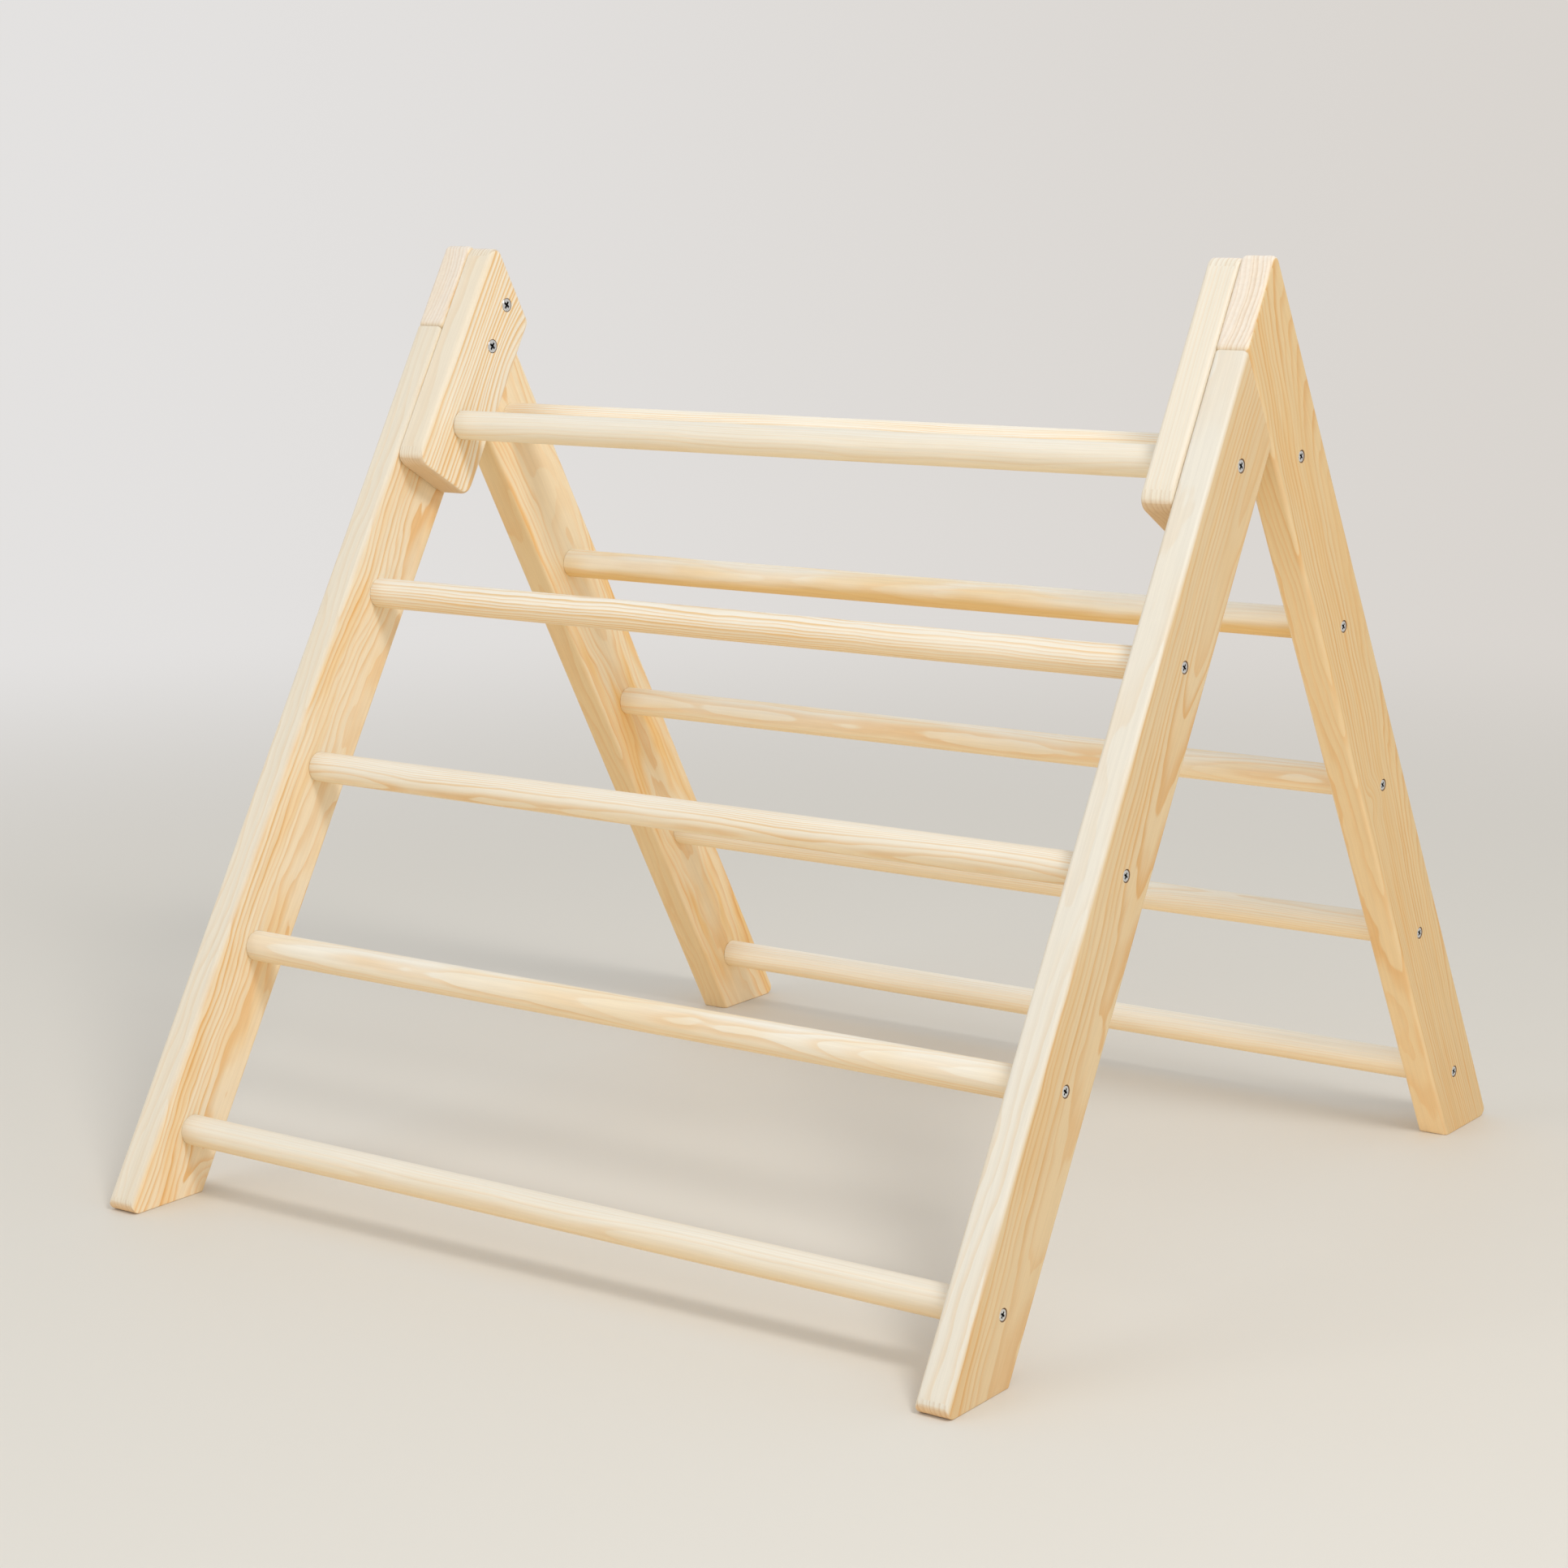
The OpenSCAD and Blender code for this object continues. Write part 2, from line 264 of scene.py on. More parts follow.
class End:
    """The side view of a board's cut end: how far along it lies for each place across."""

    def __init__(self, points, easing):
        self.points = sorted(points, key=lambda p: p[0])
        self.easing = easing

    def at(self, across):
        points = self.points
        across = min(max(across, points[0][0]), points[-1][0])
        for (a0, l0), (a1, l1) in zip(points, points[1:]):
            if across <= a1:
                return l0 if a1 - a0 < SAME else l0 + (l1 - l0) * (across - a0) / (a1 - a0)
        return points[-1][1]

    def steepness(self, across):
        """How much longer a step is along the board than square to the end."""
        rise = self.at(across + SLOPE_REACH) - self.at(across - SLOPE_REACH)
        return min(math.hypot(1, rise / (2 * SLOPE_REACH)), STEEPEST)


def cut_end(ladder, board_side, planes, radii, easing):
    """The end that a row of planes cuts, from the front edge to the rear edge.

    Each plane is (point, normal). The radii round the corners between them in turn,
    with the board's own edges first and last. The easing is sanded onto the end's edges.
    """
    lines = [(1, 0, -HALF_W)]
    lines += [ladder.line(point, normal) for point, normal in planes]
    lines += [(1, 0, HALF_W)]
    corners = [meet(a, b) for a, b in zip(lines, lines[1:])]
    inward = Vector((0, board_side * EDGE_RUN))
    route = [corners[0] + inward, *corners, corners[-1] + inward]
    points = []
    for i, radius in enumerate(radii):
        points += fillet(route[i + 1], route[i], route[i + 2], radius)
    return End([tuple(p) for p in points], easing)


def floor_end(ladder):
    """The level cut at a foot, rounded at the outer corner."""
    radius = sizes().foot
    radii = (radius, 0) if ladder is FRONT else (0, radius)
    return cut_end(ladder, ABOVE, [(Vector((0, 0, 0)), UP)], radii, sizes().easing)


def swing_end():
    """The top of a front rail: the stop face, then the arc on which it swings clear."""
    stop = max((v.co - REAR.origin).dot(REAR.across)
               for v in frame["nodes"]["front_left_rail"].data.vertices)
    face = cut_end(FRONT, BELOW, [(REAR.place(0, stop, 0), REAR.across)], (0, 0), 0)
    pivot_along = FRONT.local(PIVOT)[1]
    radius = stop - (PIVOT - REAR.origin).dot(REAR.across)
    touch = radius * REAR.across.dot(FRONT.across)
    points = [(-HALF_W, face.at(-HALF_W))]
    for i in range(ARC_STEPS + 1):
        across = touch + (HALF_W - touch) * i / ARC_STEPS
        points.append((across, pivot_along + math.sqrt(radius ** 2 - across ** 2)))
    return End(points, sizes().stop_easing)


def edge_plane(ladder, toward):
    """The line of a ladder's front edges (-1) or rear edges (1), as a cut."""
    return ladder.place(0, toward * HALF_W, 0), ladder.across


def level_plane(node):
    """The level cut at the top of a board."""
    return Vector((0, 0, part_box(node)[1].z)), UP


def rail_apex_end():
    """The top of a rear rail, cut in line with the front rail and then level."""
    radius = sizes().rail_apex
    planes = [edge_plane(FRONT, -1), level_plane("rear_left_rail")]
    return cut_end(REAR, BELOW, planes, (0, radius, radius), sizes().apex_easing)


def plate_apex_end():
    """The top of a hinge plate, level and then in line with the rear rail."""
    radius = sizes().plate_apex
    planes = [level_plane("left_hinge_plate"), edge_plane(REAR, 1)]
    return cut_end(FRONT, BELOW, planes, (radius, radius, BLUNT), sizes().plate_easing)


def plate_foot_end():
    """The square lower end of a hinge plate, rounded at both corners."""
    bottom = FRONT.place(0, 0, FRONT.lowest("left_hinge_plate"))
    radii = (sizes().plate, sizes().plate)
    return cut_end(FRONT, ABOVE, [(bottom, FRONT.up)], radii, sizes().plate_easing)


# ---------- Meshes ----------

MERGE = 1e-7
SHARP = math.radians(32)
ARRIS_STEPS = 7
EASING_STEPS = 6
END_GRAIN_STEPS = 4         # steps of an end's easing that show end grain
CLOSEST = 0.06 * MM         # least step between lines of points across a board
BAR_SIDES = 96


def mesh_object(name, bm):
    bmesh.ops.remove_doubles(bm, verts=bm.verts, dist=MERGE)
    bmesh.ops.recalc_face_normals(bm, faces=bm.faces)
    mesh = bpy.data.meshes.new(name)
    bm.to_mesh(mesh)
    bm.free()
    piece = bpy.data.objects.new(name, mesh)
    bpy.context.scene.collection.objects.link(piece)
    return piece


def apply_modifiers(piece):
    evaluated = piece.evaluated_get(bpy.context.evaluated_depsgraph_get())
    mesh = bpy.data.meshes.new_from_object(evaluated)
    old = piece.data
    piece.modifiers.clear()
    piece.data = mesh
    mesh.name = piece.name
    bpy.data.meshes.remove(old)


def smooth(piece):
    """Smooth shading that keeps flat faces flat and real corners crisp."""
    piece.data.shade_smooth()
    piece.data.set_sharp_from_angle(angle=SHARP)
    weigh = piece.modifiers.new("weigh", "WEIGHTED_NORMAL")
    weigh.keep_sharp = True
    apply_modifiers(piece)


def carve(piece, cutter):
    """Takes the cutter's shape out of a piece, and the cutter away."""
    cut = piece.modifiers.new("carve", "BOOLEAN")
    cut.operation = "DIFFERENCE"
    cut.solver = "EXACT"
    cut.object = cutter
    apply_modifiers(piece)
    bpy.data.meshes.remove(cutter.data)


def spin(bm, profile, matrix, segments):
    """Turns a profile of (radius, height) about Z, and returns its rings of points.

    A radius of 0 closes the shape.
    """
    rings = []
    for radius, height in profile:
        if radius <= 0:
            rings.append([bm.verts.new(matrix @ Vector((0, 0, height)))])
            continue
        ring = []
        for i in range(segments):
            a = ROUND * i / segments
            point = Vector((radius * math.cos(a), radius * math.sin(a), height))
            ring.append(bm.verts.new(matrix @ point))
        rings.append(ring)
    for low, high in zip(rings, rings[1:]):
        for i in range(segments):
            j = (i + 1) % segments
            corners = [row[k % len(row)] for row, k in ((low, i), (low, j), (high, j), (high, i))]
            bm.faces.new(list(dict.fromkeys(corners)))
    return rings


def section(across, inset, half_t):
    """A place on a board's rounded section: (across, half the thickness there)."""
    arris = sizes().arris
    flat = HALF_W - arris
    if abs(across) <= flat:
        return across, half_t - inset
    turn = math.asin(min((abs(across) - flat) / arris, 1))
    moved = flat + (arris - inset) * math.sin(turn)
    return math.copysign(moved, across), half_t - arris + (arris - inset) * math.cos(turn)


def board_stops(ends):
    """Places across a board where its section and both its ends need a line of points."""
    turns = [math.pi / 2 * i / ARRIS_STEPS for i in range(ARRIS_STEPS + 1)]
    stops = [HALF_W - sizes().arris * (1 - math.sin(turn)) for turn in turns]
    stops += [-s for s in stops]
    for end in ends:
        stops += [p[0] for p in end.points]
    kept = []
    for stop in sorted(min(max(s, -HALF_W), HALF_W) for s in stops):
        if not kept or stop - kept[-1] > CLOSEST:
            kept.append(stop)
    kept[0], kept[-1] = -HALF_W, HALF_W
    return kept


def board(name, node, ladder, bottom, top):
    """A planed board in a CAD node's place, between its two cut ends."""
    low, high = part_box(node)
    middle, half_t = (low.x + high.x) / 2, (high.x - low.x) / 2
    stops = board_stops((bottom, top))
    bm = bmesh.new()

    def ring(end, sign, turn):
        inset = end.easing * (1 - math.cos(turn))
        sink = end.easing * (1 - math.sin(turn))
        left, right = [], []
        for stop in stops:
            across, half = section(stop, inset, half_t)
            along = end.at(across) - sign * sink * end.steepness(across)
            left.append(bm.verts.new(ladder.place(middle - half, across, along)))
            right.append(bm.verts.new(ladder.place(middle + half, across, along)))
        return left, right

    turns = [math.pi / 2 * i / EASING_STEPS for i in range(EASING_STEPS + 1)]
    rings = [ring(bottom, -1, t) for t in reversed(turns)] + [ring(top, 1, t) for t in turns]
    planed = EASING_STEPS - END_GRAIN_STEPS
    for i, ((left, right), (next_left, next_right)) in enumerate(zip(rings, rings[1:])):
        strip = []
        for k in range(len(stops) - 1):
            strip.append(bm.faces.new([left[k], left[k + 1], next_left[k + 1], next_left[k]]))
            strip.append(
                bm.faces.new([right[k], next_right[k], next_right[k + 1], right[k + 1]]))
        for k in (0, -1):
            strip.append(bm.faces.new([left[k], right[k], next_right[k], next_left[k]]))
        for face in strip:
            face.material_index = 1 if abs(i - EASING_STEPS) > planed else 0
    for left, right in (rings[0], rings[-1]):
        for k in range(len(stops) - 1):
            cap = bm.faces.new([left[k], left[k + 1], right[k + 1], right[k]])
            cap.material_index = 1
    return mesh_object(name, bm)


# ---------- Screws ----------

Screw = namedtuple("Screw", "diameter head length gap")
RIM = 0.4 * MM
HEAD_BEVEL = 0.18 * MM
HEAD_SIDES = 40
PIVOT_SCREW_LENGTH = 100 * MM
PLAIN_SHANK = 0.3           # length above the thread, of the whole screw's
THREAD_LEAD = 0.55          # of the screw's diameter
THREAD_ROOT = (0.3, 0.7)    # where in each turn the thread's root starts and ends
CORE = 0.66                 # radius of the root, of the shank's
POINT = 1.5                 # length of the point, of the screw's diameter
SEAT_MOUTH = 1 * MM         # how far a seat's cutter stands out of the wood

# The cross: the reach and half width of its arms at its mouth and at its floor, of the
# head's radius, and its depth, of the height from the head's top to the cone's end.
CROSS_MOUTH = (0.63, 0.19)
CROSS_FLOOR = (0.3024, 0.1197)
CROSS_DEPTH = 0.65
CROSS_START = 4             # side of the head where its first arm points
CROSS_TURN = ROUND * CROSS_START / HEAD_SIDES
# The corner of the cross that each step round a quarter of the head's rim is joined to.
NEAREST_CORNERS = (1, 1, 1, 2, 2, 2, 2, 3, 3, 3)


def head_radius(screw):
    return screw.head / 2 - screw.gap


def cone_height(screw):
    """Height of the 90 degree cone under the head."""
    return head_radius(screw) - screw.diameter / 2


def sunk(screw):
    """Depth of the head's top below the wood, where its rim meets the seat."""
    return screw.gap - RIM


def screw_matrix(point, side):
    """Local +Z points into the wood, from the outer face on that side."""
    turn = Matrix.Rotation(-side * math.pi / 2, 4, "Y")
    return Matrix.Translation(point) @ turn


def seat_profile(screw):
    """The countersunk hole that a screw sits in."""
    gap = sizes().hole_gap
    mouth, shank = screw.head / 2 + gap, screw.diameter / 2 + gap
    return [
        (0, -SEAT_MOUTH),
        (mouth + SEAT_MOUTH, -SEAT_MOUTH),
        (shank, mouth - shank),
        (shank, screw.length + gap),
        (0, screw.length + gap),
    ]


def screw_profile(screw):
    """A countersunk wood screw below its flat top: rim, cone, threaded shank and point."""
    top, head, shank = sunk(screw), head_radius(screw), screw.diameter / 2
    cone_end = top + RIM + cone_height(screw)
    height = cone_end + PLAIN_SHANK * screw.length
    profile = [(head - HEAD_BEVEL, top), (head, top + HEAD_BEVEL), (head, top + RIM),
               (shank, cone_end), (shank, height)]
    core = CORE * shank
    lead = THREAD_LEAD * screw.diameter
    tip = screw.length - POINT * screw.diameter
    while height + lead < tip:
        profile += [(core, height + part * lead) for part in THREAD_ROOT]
        height += lead
        profile.append((shank, height))
    profile += [(core, tip), (0, screw.length)]
    return profile


def cross_outline(reach, half):
    """The twelve corners of a cross with arms of this reach and half width."""
    points = []
    for quarter in range(4):
        turn = Matrix.Rotation(quarter * math.pi / 2 + CROSS_TURN, 2)
        points += [turn @ Vector(p) for p in ((reach, -half), (reach, half), (half, half))]
    return points


def add_cross(bm, screw, place, rim):
    """The flat top inside a head's rim, with the tapered cross in it in the second zinc, its
    painted shade.
    """
    head = head_radius(screw)
    floor = sunk(screw) + CROSS_DEPTH * (cone_height(screw) + RIM)
    mouth, base = [
        [bm.verts.new(place @ Vector((*corner, height)))
         for corner in cross_outline(reach * head, half * head)]
        for height, (reach, half) in ((sunk(screw), CROSS_MOUTH), (floor, CROSS_FLOOR))
    ]
    corners = len(mouth)
    for quarter in range(4):
        last = 0
        for step, corner in enumerate(NEAREST_CORNERS):
            i = CROSS_START + quarter * len(NEAREST_CORNERS) + step
            here, there = rim[i % HEAD_SIDES], rim[(i + 1) % HEAD_SIDES]
            met = mouth[(3 * quarter + corner) % corners]
            if corner != last:
                bm.faces.new([here, met, mouth[(3 * quarter + last) % corners]])
            bm.faces.new([here, there, met])
            last = corner
    sunken = [bm.faces.new(base[2::3])]
    sunken += [bm.faces.new([base[i + k] for k in (-1, 0, 1, 2)]) for i in range(0, corners, 3)]
    for i in range(corners):
        j = (i + 1) % corners
        sunken.append(bm.faces.new([mouth[i], mouth[j], base[j], base[i]]))
    for face in sunken:
        face.material_index = 1


def rung_screw():
    low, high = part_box("rear_left_rung_screws")
    return Screw(sizes().rung_screw, sizes().rung_head, high.x - low.x, sizes().head_gap)


def pivot_screw():
    """A pivot screw reaches from the outer face into the end of the top front rung."""
    return Screw(sizes().pivot_screw, sizes().pivot_head, PIVOT_SCREW_LENGTH, sizes().head_gap)


def plate_screw():
    low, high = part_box("left_plate_screws")
    return Screw(sizes().plate_screw, sizes().plate_head, high.x - low.x, sizes().plate_gap)


def outer_x(node):
    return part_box(node)[1].x


def rung_screw_places(ladder, side):
    """Where the rung screws of one rail start. The pivot screw holds the top front rung."""
    face = SIDES[side] * outer_x(f"{ladder.name}_right_rail")
    first = 2 if ladder is FRONT else 1
    places = [centre(f"{ladder.name}_rung_{i}") for i in range(first, RUNGS + 1)]
    return [screw_matrix(Vector((face, p.y, p.z)), SIDES[side]) for p in places]


def pivot_place(side):
    face = SIDES[side] * outer_x("front_right_rail")
    return screw_matrix(Vector((face, PIVOT.y, PIVOT.z)), SIDES[side])


def plate_screw_places(side):
    """The two plate screws, found from the box that holds them both."""
    low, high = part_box(f"{side}_plate_screws")
    head = sizes().plate_head / 2
    face = SIDES[side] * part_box("right_hinge_plate")[0].x
    upper = Vector((face, high.y - head, high.z - head))
    lower = Vector((face, low.y + head, low.z + head))
    return [screw_matrix(p, -SIDES[side]) for p in (upper, lower)]


def screw_set(name, node, body, screw, places):
    """Makes a group of like screws that stands for one CAD node."""
    bm = bmesh.new()
    for place in places:
        rings = spin(bm, screw_profile(screw), place, HEAD_SIDES)
        add_cross(bm, screw, place, rings[0])
    piece = mesh_object(name, bm)
    for material in zinc_materials():
        piece.data.materials.append(material)
    smooth(piece)
    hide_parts(node)
    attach(piece, body)


def seat_cutter(holes, materials):
    """The screws' holes, as a cutter that leaves the last of its materials on what it cuts."""
    bm = bmesh.new()
    for screw, place in holes:
        spin(bm, seat_profile(screw), place, HEAD_SIDES)
    cutter = mesh_object("seat_cutter", bm)
    for material in materials:
        cutter.data.materials.append(material)
    for face in cutter.data.polygons:
        face.material_index = len(materials) - 1
    return cutter


# ---------- Node graphs ----------

class Graph:
    """Short words for building a node tree."""

    def __init__(self, tree):
        self.tree = tree

    def node(self, kind, **settings):
        made = self.tree.nodes.new(kind)
        for name, value in settings.items():
            setattr(made, name, value)
        return made

    def put(self, socket, value):
        if isinstance(value, bpy.types.NodeSocket):
            self.tree.links.new(value, socket)
        else:
            socket.default_value = value

    def fed(self, kind, values, **settings):
        """A node with its first inputs filled in turn."""
        made = self.node(kind, **settings)
        for socket, value in zip(made.inputs, values):
            self.put(socket, value)
        return made

    def math(self, operation, *values):
        return self.fed("ShaderNodeMath", values, operation=operation).outputs[0]

    def plus(self, a, b):
        return self.math("ADD", a, b)

    def minus(self, a, b):
        return self.math("SUBTRACT", a, b)

    def times(self, a, b):
        return self.math("MULTIPLY", a, b)

    def vector(self, operation, *values):
        made = self.fed("ShaderNodeVectorMath", values, operation=operation)
        scalar = operation in ("DOT_PRODUCT", "LENGTH")
        return made.outputs["Value" if scalar else "Vector"]

    def place(self):
        """Where a point of the surface lies, in the part's frame."""
        return self.node("ShaderNodeTexCoord").outputs["Object"]

    def noise(self, vector, detail=2.0):
        made = self.node("ShaderNodeTexNoise")
        self.put(made.inputs["Vector"], vector)
        made.inputs["Scale"].default_value = 1.0
        made.inputs["Detail"].default_value = detail
        return made.outputs["Fac"]

    def speckle(self, grains):
        """Fine noise with about this many grains to the metre."""
        return self.noise(self.vector("MULTIPLY", self.place(), (grains, grains, grains)), 3.0)

    def stretched_noise(self, vector, stretch, shift, detail=2.0):
        """Noise with its own scale on each axis, moved along by a shift."""
        scaled = self.vector("MULTIPLY", vector, stretch)
        return self.noise(self.vector("ADD", scaled, shift), detail)

    def ease(self, value, low, high, to_low=0.0, to_high=1.0):
        values = (value, low, high, to_low, to_high)
        made = self.fed("ShaderNodeMapRange", values, interpolation_type="SMOOTHSTEP")
        return made.outputs[0]

    def mix(self, factor, a, b, blend="MIX"):
        made = self.node("ShaderNodeMix", data_type="RGBA", blend_type=blend)
        for i, value in ((0, factor), (6, a), (7, b)):
            self.put(made.inputs[i], value)
        return made.outputs[2]

    def tint(self, a, b):
        """One colour seen through another."""
        return self.mix(1.0, a, b, "MULTIPLY")

    def combine(self, x, y, z):
        return self.fed("ShaderNodeCombineXYZ", (x, y, z)).outputs[0]

    def split(self, vector):
        return self.fed("ShaderNodeSeparateXYZ", (vector,)).outputs

    def mix_shaders(self, factor, a, b):
        return self.fed("ShaderNodeMixShader", (factor, a, b)).outputs[0]


# The pine's inputs, by the kind of their sockets.
PINE_INPUTS = {
    "Vector": ("Grain", "Pith", "Tilt", "Swirl", "Swirl reach"),
    "Float": ("Swirl height", "Ring", "Sway", "Ripple", "Seed", "Strength", "Edge share",
              "Edge calm", "Resin amount"),
    "Color": ("Early", "Edge", "Band", "Resin"),
}
WHITE = (1.0, 1.0, 1.0, 1.0)

# Scales of the pine's noises, for each millimetre through, across and along the wood.
SWAY_SCALE = (0.006, 0.006, 0.0046)
WAVE_SCALE = (0.035, 0.035, 0.013)
QUICK_SCALE = (0.12, 0.12, 0.034)
FADE_SCALE = (0.02, 0.02, 0.006)
FIBRE_SCALE = (2.6, 2.6, 0.05)
STREAK_SCALE = (0.42, 0.42, 0.006)
DASH_SCALE = (1.7, 1.7, 0.04)
CLOUD_SCALE = (0.022, 0.022, 0.0055)
QUICK_SHARE = 0.3               # of the quick ripple in the waves of the rings
UNEVEN = (0.31, 2.4)            # how often the rings' width changes, and by how many rings
RISE_START, PEAK = 0.20, 0.93   # where in a ring its late wood starts and is darkest
RISE_POWER = 1.7
RING_CONTRAST = (0.45, 1.0)     # faintest and strongest ring
FADE_CONTRAST = (0.45, 1.2)     # faintest and strongest stretch of a board
NOISE_SPAN = (0.25, 0.75)       # most of what a smooth noise gives
FIBRE_SPAN = (0.2, 0.8)
FIBRE_TONE = (0.97, 1.025)
STREAK_TONE = (-0.03, 0.03)
DASH_LEVEL = (0.66, 0.78)       # noise at which a resin dash starts and is full
DASH_TONE = 0.05
PATCH_LEVEL = (0.46, 0.62)      # the same for a warm patch
LAYER_SCALE = (0.42, 0.006)     # of the warm patches, for each ring and millimetre along
LAYER_SHARE, CLOUD_SHARE = 0.6, 0.4
EDGE_CLEAR = 0.85               # how far the warm patches fade on the edge
LATE_HEIGHT, FIBRE_HEIGHT = 0.5, 0.6


def pine_group():
    """Growth rings round a pith, cut by the board: the same solid figure on every face.

    Grain is the place in the board in millimetres: through its thickness, across it and
    along it. The pith is the middle of the tree, and tilts and sways along the board. A
    swirl is a place across and along where the rings bulge round a hidden knot.
    """
    found = bpy.data.node_groups.get("solid_pine")
    if found:
        return found
    tree = bpy.data.node_groups.new("solid_pine", "ShaderNodeTree")
    for kind, names in PINE_INPUTS.items():
        for name in names:
            tree.interface.new_socket(name=name, in_out="INPUT", socket_type=f"NodeSocket{kind}")
    tree.interface.new_socket(name="Color", in_out="OUTPUT", socket_type="NodeSocketColor")
    tree.interface.new_socket(name="Height", in_out="OUTPUT", socket_type="NodeSocketFloat")
    g = Graph(tree)
    given = g.node("NodeGroupInput").outputs
    grain = given["Grain"]
    seed = given["Seed"]
    through, across, along = g.split(grain)
    shift_a = g.combine(seed, 3.1, 0.0)
    shift_b = g.combine(7.7, seed, 5.3)

    # The pith wanders slowly, and the rings ripple round it.
    pith = g.split(given["Pith"])
    tilt = g.split(given["Tilt"])
    arms = []
    for place, start, lean, shift in ((through, pith[0], tilt[0], shift_a),
                                      (across, pith[1], tilt[1], shift_b)):
        sway = g.minus(g.stretched_noise(grain, SWAY_SCALE, shift, 1.0), 0.5)
        arm = g.minus(g.minus(place, start), g.times(lean, along))
        arms.append(g.plus(arm, g.times(sway, given["Sway"])))
    radius = g.vector("LENGTH", g.combine(arms[0], arms[1], 0.0))
    wave = g.stretched_noise(grain, WAVE_SCALE, shift_b)
    quick = g.stretched_noise(grain, QUICK_SCALE, shift_a, 1.0)
    stir = g.plus(g.minus(wave, 0.5), g.times(g.minus(quick, 0.5), QUICK_SHARE))
    radius = g.plus(radius, g.times(stir, given["Ripple"]))
    off = g.vector("SUBTRACT", g.combine(0.0, across, along), given["Swirl"])
    off = g.vector("LENGTH", g.vector("DIVIDE", off, given["Swirl reach"]))
    radius = g.plus(radius, g.times(g.ease(off, 0.0, 1.0, 1.0, 0.0), given["Swirl height"]))

    # Rings of uneven width, each with a slow rise to its late wood and a sharp end.
    count = g.math("DIVIDE", radius, given["Ring"])
    uneven = g.noise(g.combine(g.times(count, UNEVEN[0]), seed, 0.0), 1.0)
    count = g.plus(count, g.times(uneven, UNEVEN[1]))
    cell = g.math("FLOOR", count)
    share = g.minus(count, cell)
    rise = g.math("POWER", g.ease(share, RISE_START, PEAK), RISE_POWER)
    late = g.times(rise, g.ease(share, PEAK, 1.0, 1.0, 0.0))
    white = g.node("ShaderNodeTexWhiteNoise", noise_dimensions="2D")
    g.put(white.inputs["Vector"], g.combine(cell, seed, 0.0))
    late = g.times(late, g.ease(white.outputs["Value"], 0.0, 1.0, *RING_CONTRAST))
    fade = g.stretched_noise(grain, FADE_SCALE, shift_a)
    late = g.times(late, g.ease(fade, *NOISE_SPAN, *FADE_CONTRAST))

    # Fine fibres and short resin dashes along the grain.
    fibre = g.stretched_noise(grain, FIBRE_SCALE, shift_a, 3.0)
    streak = g.stretched_noise(grain, STREAK_SCALE, shift_b, 3.0)
    dash = g.ease(g.stretched_noise(grain, DASH_SCALE, shift_b), *DASH_LEVEL)

    # The warm patches follow the rings, so their edges run with the figure.
    turn, run = LAYER_SCALE
    layer = g.noise(g.combine(g.times(count, turn), g.times(along, run), seed))
    cloud = g.stretched_noise(grain, CLOUD_SCALE, shift_b)
    patch = g.plus(g.times(layer, LAYER_SHARE), g.times(cloud, CLOUD_SHARE))
    patch = g.ease(patch, *PATCH_LEVEL)
    # The edge colour paints light and shade: on a board's front edge (there also paler wood), on
    # a rung's underside and on the lower cut ends.
    edge = given["Edge share"]
    colour = g.mix(edge, given["Early"], given["Edge"])
    patch = g.times(patch, g.minus(1.0, g.times(edge, EDGE_CLEAR)))
    colour = g.tint(colour, g.mix(g.times(patch, given["Resin amount"]), WHITE, given["Resin"]))
    late = g.times(late, g.minus(1.0, g.times(edge, given["Edge calm"])))
    colour = g.tint(colour, g.mix(g.times(late, given["Strength"]), WHITE, given["Band"]))
    tone = g.plus(g.ease(fibre, *FIBRE_SPAN, *FIBRE_TONE),
                  g.ease(streak, *NOISE_SPAN, *STREAK_TONE))
    tone = g.minus(tone, g.times(dash, DASH_TONE))
    colour = g.tint(colour, g.combine(tone, tone, tone))
    height = g.plus(g.times(late, LATE_HEIGHT), g.times(fibre, FIBRE_HEIGHT))
    out = g.node("NodeGroupOutput").inputs
    g.put(out["Color"], colour)
    g.put(out["Height"], height)
    return tree
